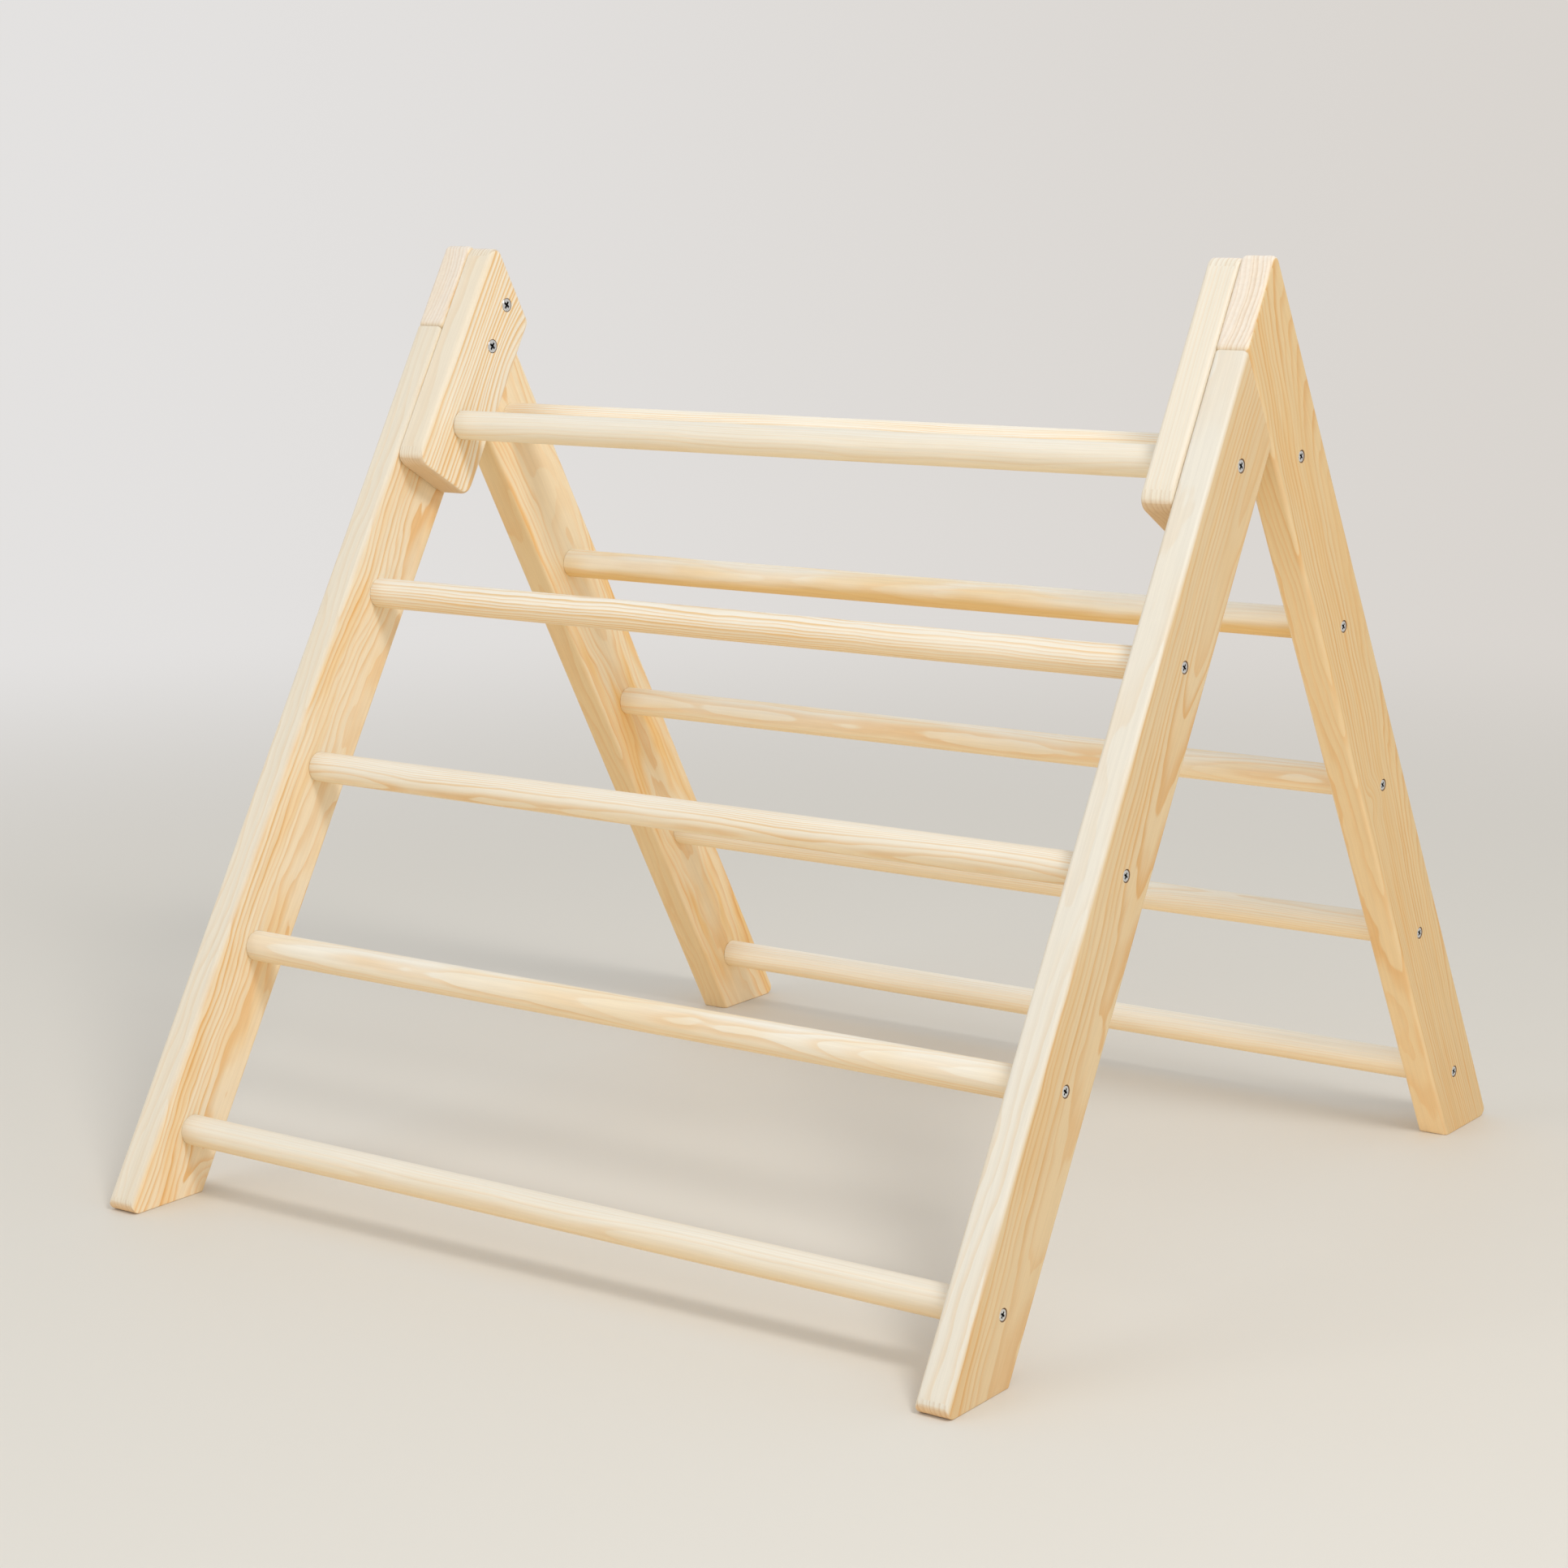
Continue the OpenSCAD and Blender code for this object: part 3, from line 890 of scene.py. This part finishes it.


# ---------- Materials ----------

# How a piece was sawn from its tree, and how its wood is coloured:
# pith: middle of the tree, through and across the piece, in mm from the piece's middle
# tilt: how far the pith moves through and across for each mm along
# ring: mean width of a ring, in mm
# sway, ripple: height of its slow and its quick waves, in mm
# seed: picks the noise
# strength: of the late wood
# warmth, light: of the early wood, from 0 pale to 1 honey, and its lightness, raised on the
#     rear rungs as painted light against the shade they lie in
# edge, edge_light: the same for a board's front edge, where the colour is partly the paler
#     wood of a narrow face and partly painted light and shade, or for a rung's underside, where
#     they paint light and shade and are added to and multiplied with the rung's own
# calm: how far the figure fades on that edge
# resin: amount of the warm patches
# swirl: its place across and along, its reach across and along, and its height, in mm
Figure = namedtuple(
    "Figure",
    "pith tilt ring sway ripple seed strength warmth light edge edge_light calm resin swirl",
    defaults=(0.0, 1.0, 0.5, 0.1, None),
)
FIGURES = {
    "front_left_rail": Figure(
        (-40, 34), (0.012, 0.004), 3.5, 24, 7, 31.3, 1.10, 0.38, 1.08, 0.10, 0.92, 0.75, 0.65,
        (34, -776, 26, 40, 9)),
    "front_right_rail": Figure(
        (3, 22), (0.050, 0.0), 4.4, 22, 6, 24.1, 0.85, 0.80, 0.90, -0.15, 0.88, 0.55, 0.35),
    "rear_left_rail": Figure(
        (-4, 6), (0.020, 0.010), 4.6, 36, 8, 43.7, 0.75, 0.60, 1.16, 0.8, 1.0, 0.5, 1.00,
        (8, -182, 24, 48, 8)),
    "rear_right_rail": Figure(
        (-60, 42), (-0.080, 0.0), 3.0, 16, 5, 41.9, 1.00, 1.00, 0.95, 0.7, 1.08, 0.3, 0.35,
        (-16, -418, 18, 26, 7)),
    "left_hinge_plate": Figure(
        (-20, 50), (0.0, 0.0), 3.9, 6, 3, 47.2, 1.8, 0.03, 1.07, 0.15, 0.96, 0.8, 0.4,
        (37, -25, 60, 105, -13)),
    "right_hinge_plate": Figure(
        (-160, 20), (0.0, 0.0), 2.6, 8, 1, 53.8, 0.35, 0.15, 1.0, 0.0, 0.93, 0.3),
    "front_rung_1": Figure(
        (6, 40), (0.004, 0.002), 2.2, 10, 1, 61.1, 0.35, -0.05, 0.95, 0.0, 1.06),
    "front_rung_2": Figure(
        (14, -34), (0.005, 0.003), 2.4, 9, 3, 67.4, 1.50, -0.05, 1.0, 0.35, 1.03, resin=0.1),
    "front_rung_3": Figure(
        (18, 36), (0.003, 0.004), 1.9, 10, 2, 71.9, 0.80, -0.05, 0.98, 0.2, 1.04, resin=0.1),
    "front_rung_4": Figure(
        (28, 2), (0.018, 0.004), 2.3, 14, 2, 79.3, 0.60, -0.05, 0.99, 0.35, 1.03, resin=0.5),
    "front_rung_5": Figure(
        (40, 26), (0.002, 0.002), 1.9, 8, 1, 83.6, 0.30, 0.0, 0.96, 0.25, 1.01),
    "rear_rung_1": Figure(
        (30, 13), (0.004, 0.003), 2.2, 10, 1.5, 89.5, 0.90, -0.05, 1.07, 0.4, 1.0, resin=0.3),
    "rear_rung_2": Figure(
        (26, -20), (0.008, 0.004), 2.0, 12, 2, 97.7, 0.35, -0.10, 1.16, 1.3, 0.95, resin=0.7),
    "rear_rung_3": Figure(
        (20, -14), (0.010, 0.006), 1.9, 12, 2, 101.2, 0.50, -0.05, 1.08, 0.3, 1.02, resin=0.5),
    "rear_rung_4": Figure(
        (6, 38), (0.003, 0.004), 2.0, 10, 1.5, 107.8, 0.50, 0.0, 1.06, 0.2, 1.02, resin=0.1),
    "rear_rung_5": Figure(
        (36, 22), (0.002, 0.003), 2.0, 8, 1, 113.4, 0.35, -0.05, 1.16, 0.3, 0.97),
}
# What is different on the cut ends of a board.
END_FIGURE = dict(
    pith=(-120, 0), tilt=(0, 0), ring=3.4, sway=0, ripple=3, strength=0.9, calm=0, resin=0.15,
    swirl=None)
NO_SWIRL = (0, 0, 1, 1, 0)

FRONT_EDGE = (-33.0, -36.5)     # across a board in mm, where its front edge starts and is full: partly paler wood, partly painted light and shade
UNDERSIDE = (-4.0, 7.0, 14.0)   # the same below a rung's middle, for its painted light and shade, and how far it wanders
DRIFT_SCALE = (9, 50, 50)       # of that wandering, for each metre
DRIFT_SHIFT = (1.7, 4.1)
HALF_CHANGE = 5.0               # half the length in mm over which the ends change from their upper colour to the lower ends' painted shade
CUT_FACE = (0.2, 0.8)           # how square to the grain a long face and a cut are
PINE_RELIEF_SPAN = (0.1, 0.9)   # relief over which the roughness changes
PINE_GLOSS = (0.05, -0.04)      # added to the roughness, low and high on the relief
PINE_IOR = 1.45
PINE_BUMP = 0.22
PINE_RELIEF = 0.15 * MM
END_DULLNESS = 0.12             # added to the roughness on a cut end
SEAT_SHADE_GRAINS, ZINC_GRAINS = 1400, 900
SEAT_SHADE_LIGHT = 1.8                # the palest speckle of the painted seat shade, against the darkest
SEAT_SHADE_ROUGHNESS = 0.8
ZINC_CLOUD = (0.35, 0.65)       # cloud over which the zinc's colour changes
ZINC_SHADE = 0.86               # the darkest zinc, against the palest
ZINC_HAZE = (0.3, 0.7)          # cloud over which its roughness changes
ZINC_GLOSS = (-0.06, 0.10)      # added to the roughness there
CROSS_DULLNESS = 0.25           # added to it in the cross of a head

Edge = namedtuple("Edge", "axis start full wave")


def opaque(rgb):
    return (*rgb, 1.0)


def early_wood(look, warmth, light):
    """A pine's early wood between pale and honey."""
    return opaque(light * (x + (y - x) * warmth) for x, y in zip(look.pale, look.honey))


def new_material(name):
    """A new material with its graph and its shader."""
    material = bpy.data.materials.new(name)
    material.use_nodes = True
    return material, Graph(material.node_tree), material.node_tree.nodes["Principled BSDF"]


def grain_place(g, axes, origin):
    """The place in the wood in millimetres, along three axes of the part's frame."""
    place = g.vector("SUBTRACT", g.place(), tuple(origin))
    return g.combine(*[g.vector("DOT_PRODUCT", place, tuple(a / MM)) for a in axes])


def edge_share(g, edge, origin):
    """How much of the edge's colour shows, from 0 at its start to 1, in mm along its axis."""
    place = g.vector("SUBTRACT", g.place(), tuple(origin))
    depth = g.vector("DOT_PRODUCT", place, tuple(edge.axis / MM))
    shift = (DRIFT_SHIFT[0], edge.wave, DRIFT_SHIFT[1])
    drift = g.minus(g.stretched_noise(place, DRIFT_SCALE, shift), 0.5)
    return g.ease(g.plus(depth, g.times(drift, edge.wave)), edge.start, edge.full)


def pine_material(name, figure, axes, origin, edge, colours, roughness, planed=None):
    """Planed pine with a clear satin finish, drawn in its own axes.

    The colours are of the early wood, its edge, the late wood and the resin. A cut end
    also gets the planed colours of the first two, for where it turns to the long faces.
    """
    material, g, shader = new_material(name)
    pine = g.node("ShaderNodeGroup", node_tree=pine_group())
    g.put(pine.inputs["Grain"], grain_place(g, axes, origin))
    across, along, wide, long, height = figure.swirl or NO_SWIRL
    settings = {
        "Pith": (*figure.pith, 0), "Tilt": (*figure.tilt, 0), "Ring": figure.ring,
        "Sway": figure.sway, "Ripple": figure.ripple, "Seed": figure.seed,
        "Strength": figure.strength, "Edge calm": figure.calm, "Resin amount": figure.resin,
        "Swirl": (0, across, along), "Swirl reach": (1, wide, long), "Swirl height": height,
    }
    settings.update(zip(("Early", "Edge", "Band", "Resin"), colours))
    for socket, value in settings.items():
        pine.inputs[socket].default_value = value
    g.put(pine.inputs["Edge share"], edge_share(g, edge, origin))
    if planed:
        normal = g.node("ShaderNodeTexCoord").outputs["Normal"]
        square = g.math("ABSOLUTE", g.vector("DOT_PRODUCT", normal, tuple(axes[2])))
        square = g.ease(square, *CUT_FACE)
        for socket, cut, face in zip(("Early", "Edge"), colours, planed):
            g.put(pine.inputs[socket], g.mix(square, face, cut))
    rough = [roughness + change for change in PINE_GLOSS]
    g.put(shader.inputs["Base Color"], pine.outputs["Color"])
    g.put(shader.inputs["Roughness"], g.ease(pine.outputs["Height"], *PINE_RELIEF_SPAN, *rough))
    shader.inputs["IOR"].default_value = PINE_IOR
    bump = g.node("ShaderNodeBump")
    bump.inputs["Strength"].default_value = PINE_BUMP
    bump.inputs["Distance"].default_value = PINE_RELIEF
    g.put(bump.inputs["Height"], pine.outputs["Height"])
    g.put(shader.inputs["Normal"], bump.outputs["Normal"])
    return material


def board_materials(node, ladder):
    """The planed faces of a board, and its cut ends."""
    look = bpy.context.scene.triangle_pine
    figure = FIGURES[node]
    low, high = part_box(node)
    origin = ladder.place((low.x + high.x) / 2, 0, 0)
    axes = (X_AXIS, ladder.across, ladder.up)
    resin = opaque(look.resin)
    early = early_wood(look, figure.warmth, figure.light)
    # The front edge's colour is partly the paler wood of a narrow face, partly painted light and
    # shade.
    edge = early_wood(look, figure.edge, figure.edge_light)
    face = pine_material(
        f"{node}_face", figure, axes, origin, Edge(ladder.across, *FRONT_EDGE, 0.0),
        (early, edge, opaque(look.band), resin), look.roughness)
    # The lower cut ends take a darker, warmer colour: painted shade on faces turned down.
    half_down = (ladder.local(high)[1] + ladder.local(low)[1]) / 2 / MM
    lower = Edge(ladder.up, half_down + HALF_CHANGE, half_down - HALF_CHANGE, 0.0)
    end = pine_material(
        f"{node}_end", figure._replace(**END_FIGURE), axes, origin, lower,
        (opaque(look.end), opaque(look.lower_end_shade), opaque(look.end_band), resin),
        look.roughness + END_DULLNESS, (edge, edge))
    return face, end


def bar_material(node, ladder):
    look = bpy.context.scene.triangle_pine
    figure = FIGURES[node]
    axes = (ladder.across, ladder.up, X_AXIS)
    early = early_wood(look, figure.warmth, figure.light)
    # Painted light and shade on a rung's underside, mostly warmer and darker.
    low = early_wood(look, figure.warmth + figure.edge, figure.light * figure.edge_light)
    return pine_material(
        f"{node}_bar", figure._replace(calm=0), axes, centre(node), Edge(-UP, *UNDERSIDE),
        (early, low, opaque(look.band), opaque(look.resin)), look.roughness)


def seat_shade_material():
    """Dark painted shade on the wood in the screw seats, speckled."""
    found = bpy.data.materials.get("bored_pine")
    if found:
        return found
    material, g, shader = new_material("bored_pine")
    seat_shade = bpy.context.scene.triangle_pine.seat_shade
    speckled_shade = opaque(SEAT_SHADE_LIGHT * c for c in seat_shade)
    g.put(shader.inputs["Base Color"], g.mix(g.speckle(SEAT_SHADE_GRAINS), opaque(seat_shade), speckled_shade))
    shader.inputs["Roughness"].default_value = SEAT_SHADE_ROUGHNESS
    return material


def zinc_material(name, colour, roughness):
    """Zinc with a cloudy finish, for the plating or for the cross of a head, dull and near black
    with painted shade.
    """
    found = bpy.data.materials.get(name)
    if found:
        return found
    material, g, shader = new_material(name)
    cloud = g.speckle(ZINC_GRAINS)
    shade = opaque(ZINC_SHADE * c for c in colour)
    rough = [roughness + change for change in ZINC_GLOSS]
    g.put(shader.inputs["Base Color"], g.mix(g.ease(cloud, *ZINC_CLOUD), shade, opaque(colour)))
    g.put(shader.inputs["Roughness"], g.ease(cloud, *ZINC_HAZE, *rough))
    shader.inputs["Metallic"].default_value = 1.0
    return material


def zinc_materials():
    look = bpy.context.scene.triangle_zinc
    return (zinc_material("zinc_plating", look.plating, look.roughness),
            zinc_material("zinc_cross", look.cross_shade, look.roughness + CROSS_DULLNESS))


# ---------- Pieces ----------

def dress_board(node, body, ladder, bottom, top, holes):
    """Makes a board, sinks its screw holes and puts it in its CAD node's place."""
    piece = board(f"{node}_board", node, ladder, bottom, top)
    # The last material paints the shade in the screw seats.
    materials = (*board_materials(node, ladder), seat_shade_material())
    for material in materials:
        piece.data.materials.append(material)
    carve(piece, seat_cutter(holes, materials))
    smooth(piece)
    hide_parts(node)
    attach(piece, body)


def dress_bar(node, body, ladder, screw, depth):
    """Makes a round rung with eased ends and a hole this deep in each."""
    low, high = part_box(node)
    radius, half = (high.y - low.y) / 2, (high.x - low.x) / 2
    easing = sizes().bar_end
    hole = screw.diameter / 2 + sizes().hole_gap
    lip = []
    for i in range(EASING_STEPS + 1):
        a = math.pi / 2 * i / EASING_STEPS
        lip.append((radius - easing * (1 - math.sin(a)), half - easing * (1 - math.cos(a))))
    end = [(0, half - depth), (hole, half - depth), (hole, half), *lip]
    profile = [(r, -h) for r, h in end] + [(r, h) for r, h in reversed(end)]
    bm = bmesh.new()
    turn = Matrix.Translation(centre(node)) @ Matrix.Rotation(math.pi / 2, 4, "Y")
    spin(bm, profile, turn, BAR_SIDES)
    piece = mesh_object(f"{node}_bar", bm)
    piece.data.materials.append(bar_material(node, ladder))
    smooth(piece)
    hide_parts(node)
    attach(piece, body)


class TRIANGLE_OT_front_rails(bpy.types.Operator):
    """Makes the two rails of the front ladder"""

    bl_idname = "triangle.front_rails"
    bl_label = "Front Rails"

    def execute(self, context):
        for side in SIDES:
            holes = [(rung_screw(), place) for place in rung_screw_places(FRONT, side)]
            holes.append((pivot_screw(), pivot_place(side)))
            dress_board(f"front_{side}_rail", "front_frame", FRONT,
                        floor_end(FRONT), swing_end(), holes)
        return {"FINISHED"}


class TRIANGLE_OT_rear_rails(bpy.types.Operator):
    """Makes the two rails of the rear ladder"""

    bl_idname = "triangle.rear_rails"
    bl_label = "Rear Rails"

    def execute(self, context):
        for side in SIDES:
            holes = [(rung_screw(), place) for place in rung_screw_places(REAR, side)]
            holes += [(plate_screw(), place) for place in plate_screw_places(side)]
            dress_board(f"rear_{side}_rail", "rear_frame", REAR,
                        floor_end(REAR), rail_apex_end(), holes)
        return {"FINISHED"}


class TRIANGLE_OT_hinge_plates(bpy.types.Operator):
    """Makes the two short boards that carry the pivots"""

    bl_idname = "triangle.hinge_plates"
    bl_label = "Hinge Plates"

    def execute(self, context):
        for side in SIDES:
            holes = [(pivot_screw(), pivot_place(side))]
            holes += [(plate_screw(), place) for place in plate_screw_places(side)]
            dress_board(f"{side}_hinge_plate", "rear_frame", FRONT,
                        plate_foot_end(), plate_apex_end(), holes)
        return {"FINISHED"}


class TRIANGLE_OT_rungs(bpy.types.Operator):
    """Makes the ten round rungs"""

    bl_idname = "triangle.rungs"
    bl_label = "Rungs"

    def execute(self, context):
        for ladder in (FRONT, REAR):
            for i in range(1, RUNGS + 1):
                node = f"{ladder.name}_rung_{i}"
                pivot = ladder is FRONT and i == 1
                screw = pivot_screw() if pivot else rung_screw()
                wood = outer_x(f"{ladder.name}_right_rail") - outer_x(node)
                depth = screw.length + sizes().hole_gap - wood
                dress_bar(node, f"{ladder.name}_frame", ladder, screw, depth)
        return {"FINISHED"}


class TRIANGLE_OT_pivot_screws(bpy.types.Operator):
    """Makes the two screws that the front ladder swings on"""

    bl_idname = "triangle.pivot_screws"
    bl_label = "Pivot Screws"

    def execute(self, context):
        places = [pivot_place(side) for side in SIDES]
        screw_set("pivot_screws_set", "pivot_screws", "front_frame", pivot_screw(), places)
        return {"FINISHED"}


class TRIANGLE_OT_rung_screws(bpy.types.Operator):
    """Makes the screws that hold the rungs"""

    bl_idname = "triangle.rung_screws"
    bl_label = "Rung Screws"

    def execute(self, context):
        for ladder in (FRONT, REAR):
            for side in SIDES:
                node = f"{ladder.name}_{side}_rung_screws"
                screw_set(f"{node}_set", node, f"{ladder.name}_frame", rung_screw(),
                          rung_screw_places(ladder, side))
        return {"FINISHED"}


class TRIANGLE_OT_plate_screws(bpy.types.Operator):
    """Makes the screws that hold the hinge plates to the rear rails"""

    bl_idname = "triangle.plate_screws"
    bl_label = "Plate Screws"

    def execute(self, context):
        for side in SIDES:
            node = f"{side}_plate_screws"
            screw_set(f"{node}_set", node, "rear_frame", plate_screw(), plate_screw_places(side))
        return {"FINISHED"}


# ---------- Stage ----------

CAMERA_PLACE = Vector((1.5008, -2.1764, 0.8175))
CAMERA_TURN = (79.406, 0.248, 35.323)
LENS_MM = 74.74
SENSOR_MM = 36.0
FLOOR_REACH = 30.0
FLOOR_FADE = (1.1, 3.4)     # from the middle, where the floor starts to fade and is gone
FLOOR_ROUGHNESS = 0.62
FLOOR_SHEEN = 0.25          # its specular level
# The background runs from its left colour to its right one along WALL_SIDE. The floor,
# where it fades, takes the colour that lies beyond it as seen from ROOM_MIDDLE.
ROOM_MIDDLE = Vector((1.5, -2.18, 0.82))
WALL_SIDE = Vector((0.816, 0.578, 0))
WALL_FADE = (-0.26, 0.30)

Lamp = namedtuple("Lamp", "name place aim size colour")
CEILING = Lamp("ceiling", Vector((2.2, -1.2, 3.0)), Vector((0, 0, 0.3)), 0.8, (1.0, 0.97, 0.93))
WINDOW = Lamp("window", Vector((-1.6, -3.6, 2.6)), Vector((0, 0, 0.4)), 2.4, (0.94, 0.975, 1.0))


def add_camera():
    data = bpy.data.cameras.new("camera")
    data.lens, data.sensor_width = LENS_MM, SENSOR_MM
    camera = bpy.data.objects.new("camera", data)
    camera.location = CAMERA_PLACE
    camera.rotation_euler = Euler([math.radians(a) for a in CAMERA_TURN])
    bpy.context.scene.collection.objects.link(camera)
    bpy.context.scene.camera = camera


def add_lamp(lamp, power):
    data = bpy.data.lights.new(lamp.name, "AREA")
    data.energy, data.size, data.color = power, lamp.size, lamp.colour
    made = bpy.data.objects.new(lamp.name, data)
    made.location = lamp.place
    made.rotation_euler = (lamp.aim - lamp.place).to_track_quat("-Z", "Y").to_euler()
    bpy.context.scene.collection.objects.link(made)


def seen_rays(g):
    """1 for rays that show the background: straight, mirrored or through glass."""
    path = g.node("ShaderNodeLightPath").outputs
    seen = g.math("MAXIMUM", path["Is Camera Ray"], path["Is Glossy Ray"])
    return g.math("MAXIMUM", seen, path["Is Transmission Ray"])


def wall_colour(g, direction, look):
    """The background in a direction, cooler at the left and warmer at the right."""
    side = g.vector("DOT_PRODUCT", direction, tuple(WALL_SIDE))
    return g.mix(g.ease(side, *WALL_FADE), opaque(look.wall), opaque(look.dusk))


def add_world(look):
    world = bpy.data.worlds.new("studio")
    bpy.context.scene.world = world
    world.use_nodes = True
    g = Graph(world.node_tree)
    light = world.node_tree.nodes["Background"]
    light.inputs["Color"].default_value = WHITE
    light.inputs["Strength"].default_value = look.sky
    backdrop = g.node("ShaderNodeBackground")
    direction = g.node("ShaderNodeTexCoord").outputs["Generated"]
    g.put(backdrop.inputs["Color"], wall_colour(g, direction, look))
    shown = g.mix_shaders(seen_rays(g), light.outputs[0], backdrop.outputs[0])
    g.put(world.node_tree.nodes["World Output"].inputs[0], shown)


def floor_material(look):
    """A matt floor that fades into the background further out."""
    material, g, shader = new_material("floor")
    seen = seen_rays(g)
    g.put(shader.inputs["Base Color"], g.mix(seen, opaque(look.bounce), opaque(look.floor)))
    shader.inputs["Roughness"].default_value = FLOOR_ROUGHNESS
    shader.inputs["Specular IOR Level"].default_value = FLOOR_SHEEN
    glow = g.node("ShaderNodeEmission")
    place = g.place()
    outward = g.vector("NORMALIZE", g.vector("SUBTRACT", place, tuple(ROOM_MIDDLE)))
    g.put(glow.inputs["Color"], wall_colour(g, outward, look))
    far = g.times(g.ease(g.vector("LENGTH", place), *FLOOR_FADE), seen)
    shown = g.mix_shaders(far, shader.outputs[0], glow.outputs[0])
    g.put(material.node_tree.nodes["Material Output"].inputs[0], shown)
    return material


def add_floor(look):
    bm = bmesh.new()
    bmesh.ops.create_grid(bm, x_segments=2, y_segments=2, size=FLOOR_REACH)
    floor = mesh_object("floor", bm)
    floor.data.materials.append(floor_material(look))


class TRIANGLE_OT_stage(bpy.types.Operator):
    """Makes the floor, the background, the lamps and the camera"""

    bl_idname = "triangle.stage"
    bl_label = "Stage"

    def execute(self, context):
        look = context.scene.triangle_stage
        context.scene.view_settings.view_transform = "Standard"
        add_camera()
        add_floor(look)
        add_world(look)
        add_lamp(CEILING, look.ceiling)
        add_lamp(WINDOW, look.window)
        return {"FINISHED"}


# ---------- Panel and registration ----------

OPERATORS = (
    TRIANGLE_OT_stage,
    TRIANGLE_OT_front_rails,
    TRIANGLE_OT_rear_rails,
    TRIANGLE_OT_hinge_plates,
    TRIANGLE_OT_rungs,
    TRIANGLE_OT_pivot_screws,
    TRIANGLE_OT_rung_screws,
    TRIANGLE_OT_plate_screws,
)

SETTINGS = {
    "triangle_sizes": TriangleSizes,
    "triangle_pine": PineLook,
    "triangle_zinc": ZincLook,
    "triangle_stage": StageLook,
}


class TRIANGLE_PT_panel(bpy.types.Panel):
    """Lists the pieces of the climbing triangle"""

    bl_idname = "TRIANGLE_PT_panel"
    bl_label = "Climbing Triangle"
    bl_space_type = "VIEW_3D"
    bl_region_type = "UI"
    bl_category = "Triangle"

    def draw(self, context):
        for operator in OPERATORS:
            self.layout.operator(operator.bl_idname)
        for name, group in SETTINGS.items():
            column = self.layout.box().column()
            for setting in group.__annotations__:
                column.prop(getattr(context.scene, name), setting)


CLASSES = (*SETTINGS.values(), *OPERATORS, TRIANGLE_PT_panel)


def register():
    for cls in CLASSES:
        bpy.utils.register_class(cls)
    for name, group in SETTINGS.items():
        setattr(bpy.types.Scene, name, PointerProperty(type=group))


def unregister():
    for name in SETTINGS:
        delattr(bpy.types.Scene, name)
    for cls in reversed(CLASSES):
        bpy.utils.unregister_class(cls)


def main():
    register()
    bpy.ops.triangle.stage()
    bpy.ops.triangle.front_rails()
    bpy.ops.triangle.rear_rails()
    bpy.ops.triangle.hinge_plates()
    bpy.ops.triangle.rungs()
    bpy.ops.triangle.pivot_screws()
    bpy.ops.triangle.rung_screws()
    bpy.ops.triangle.plate_screws()


if __name__ == "__main__":
    main()
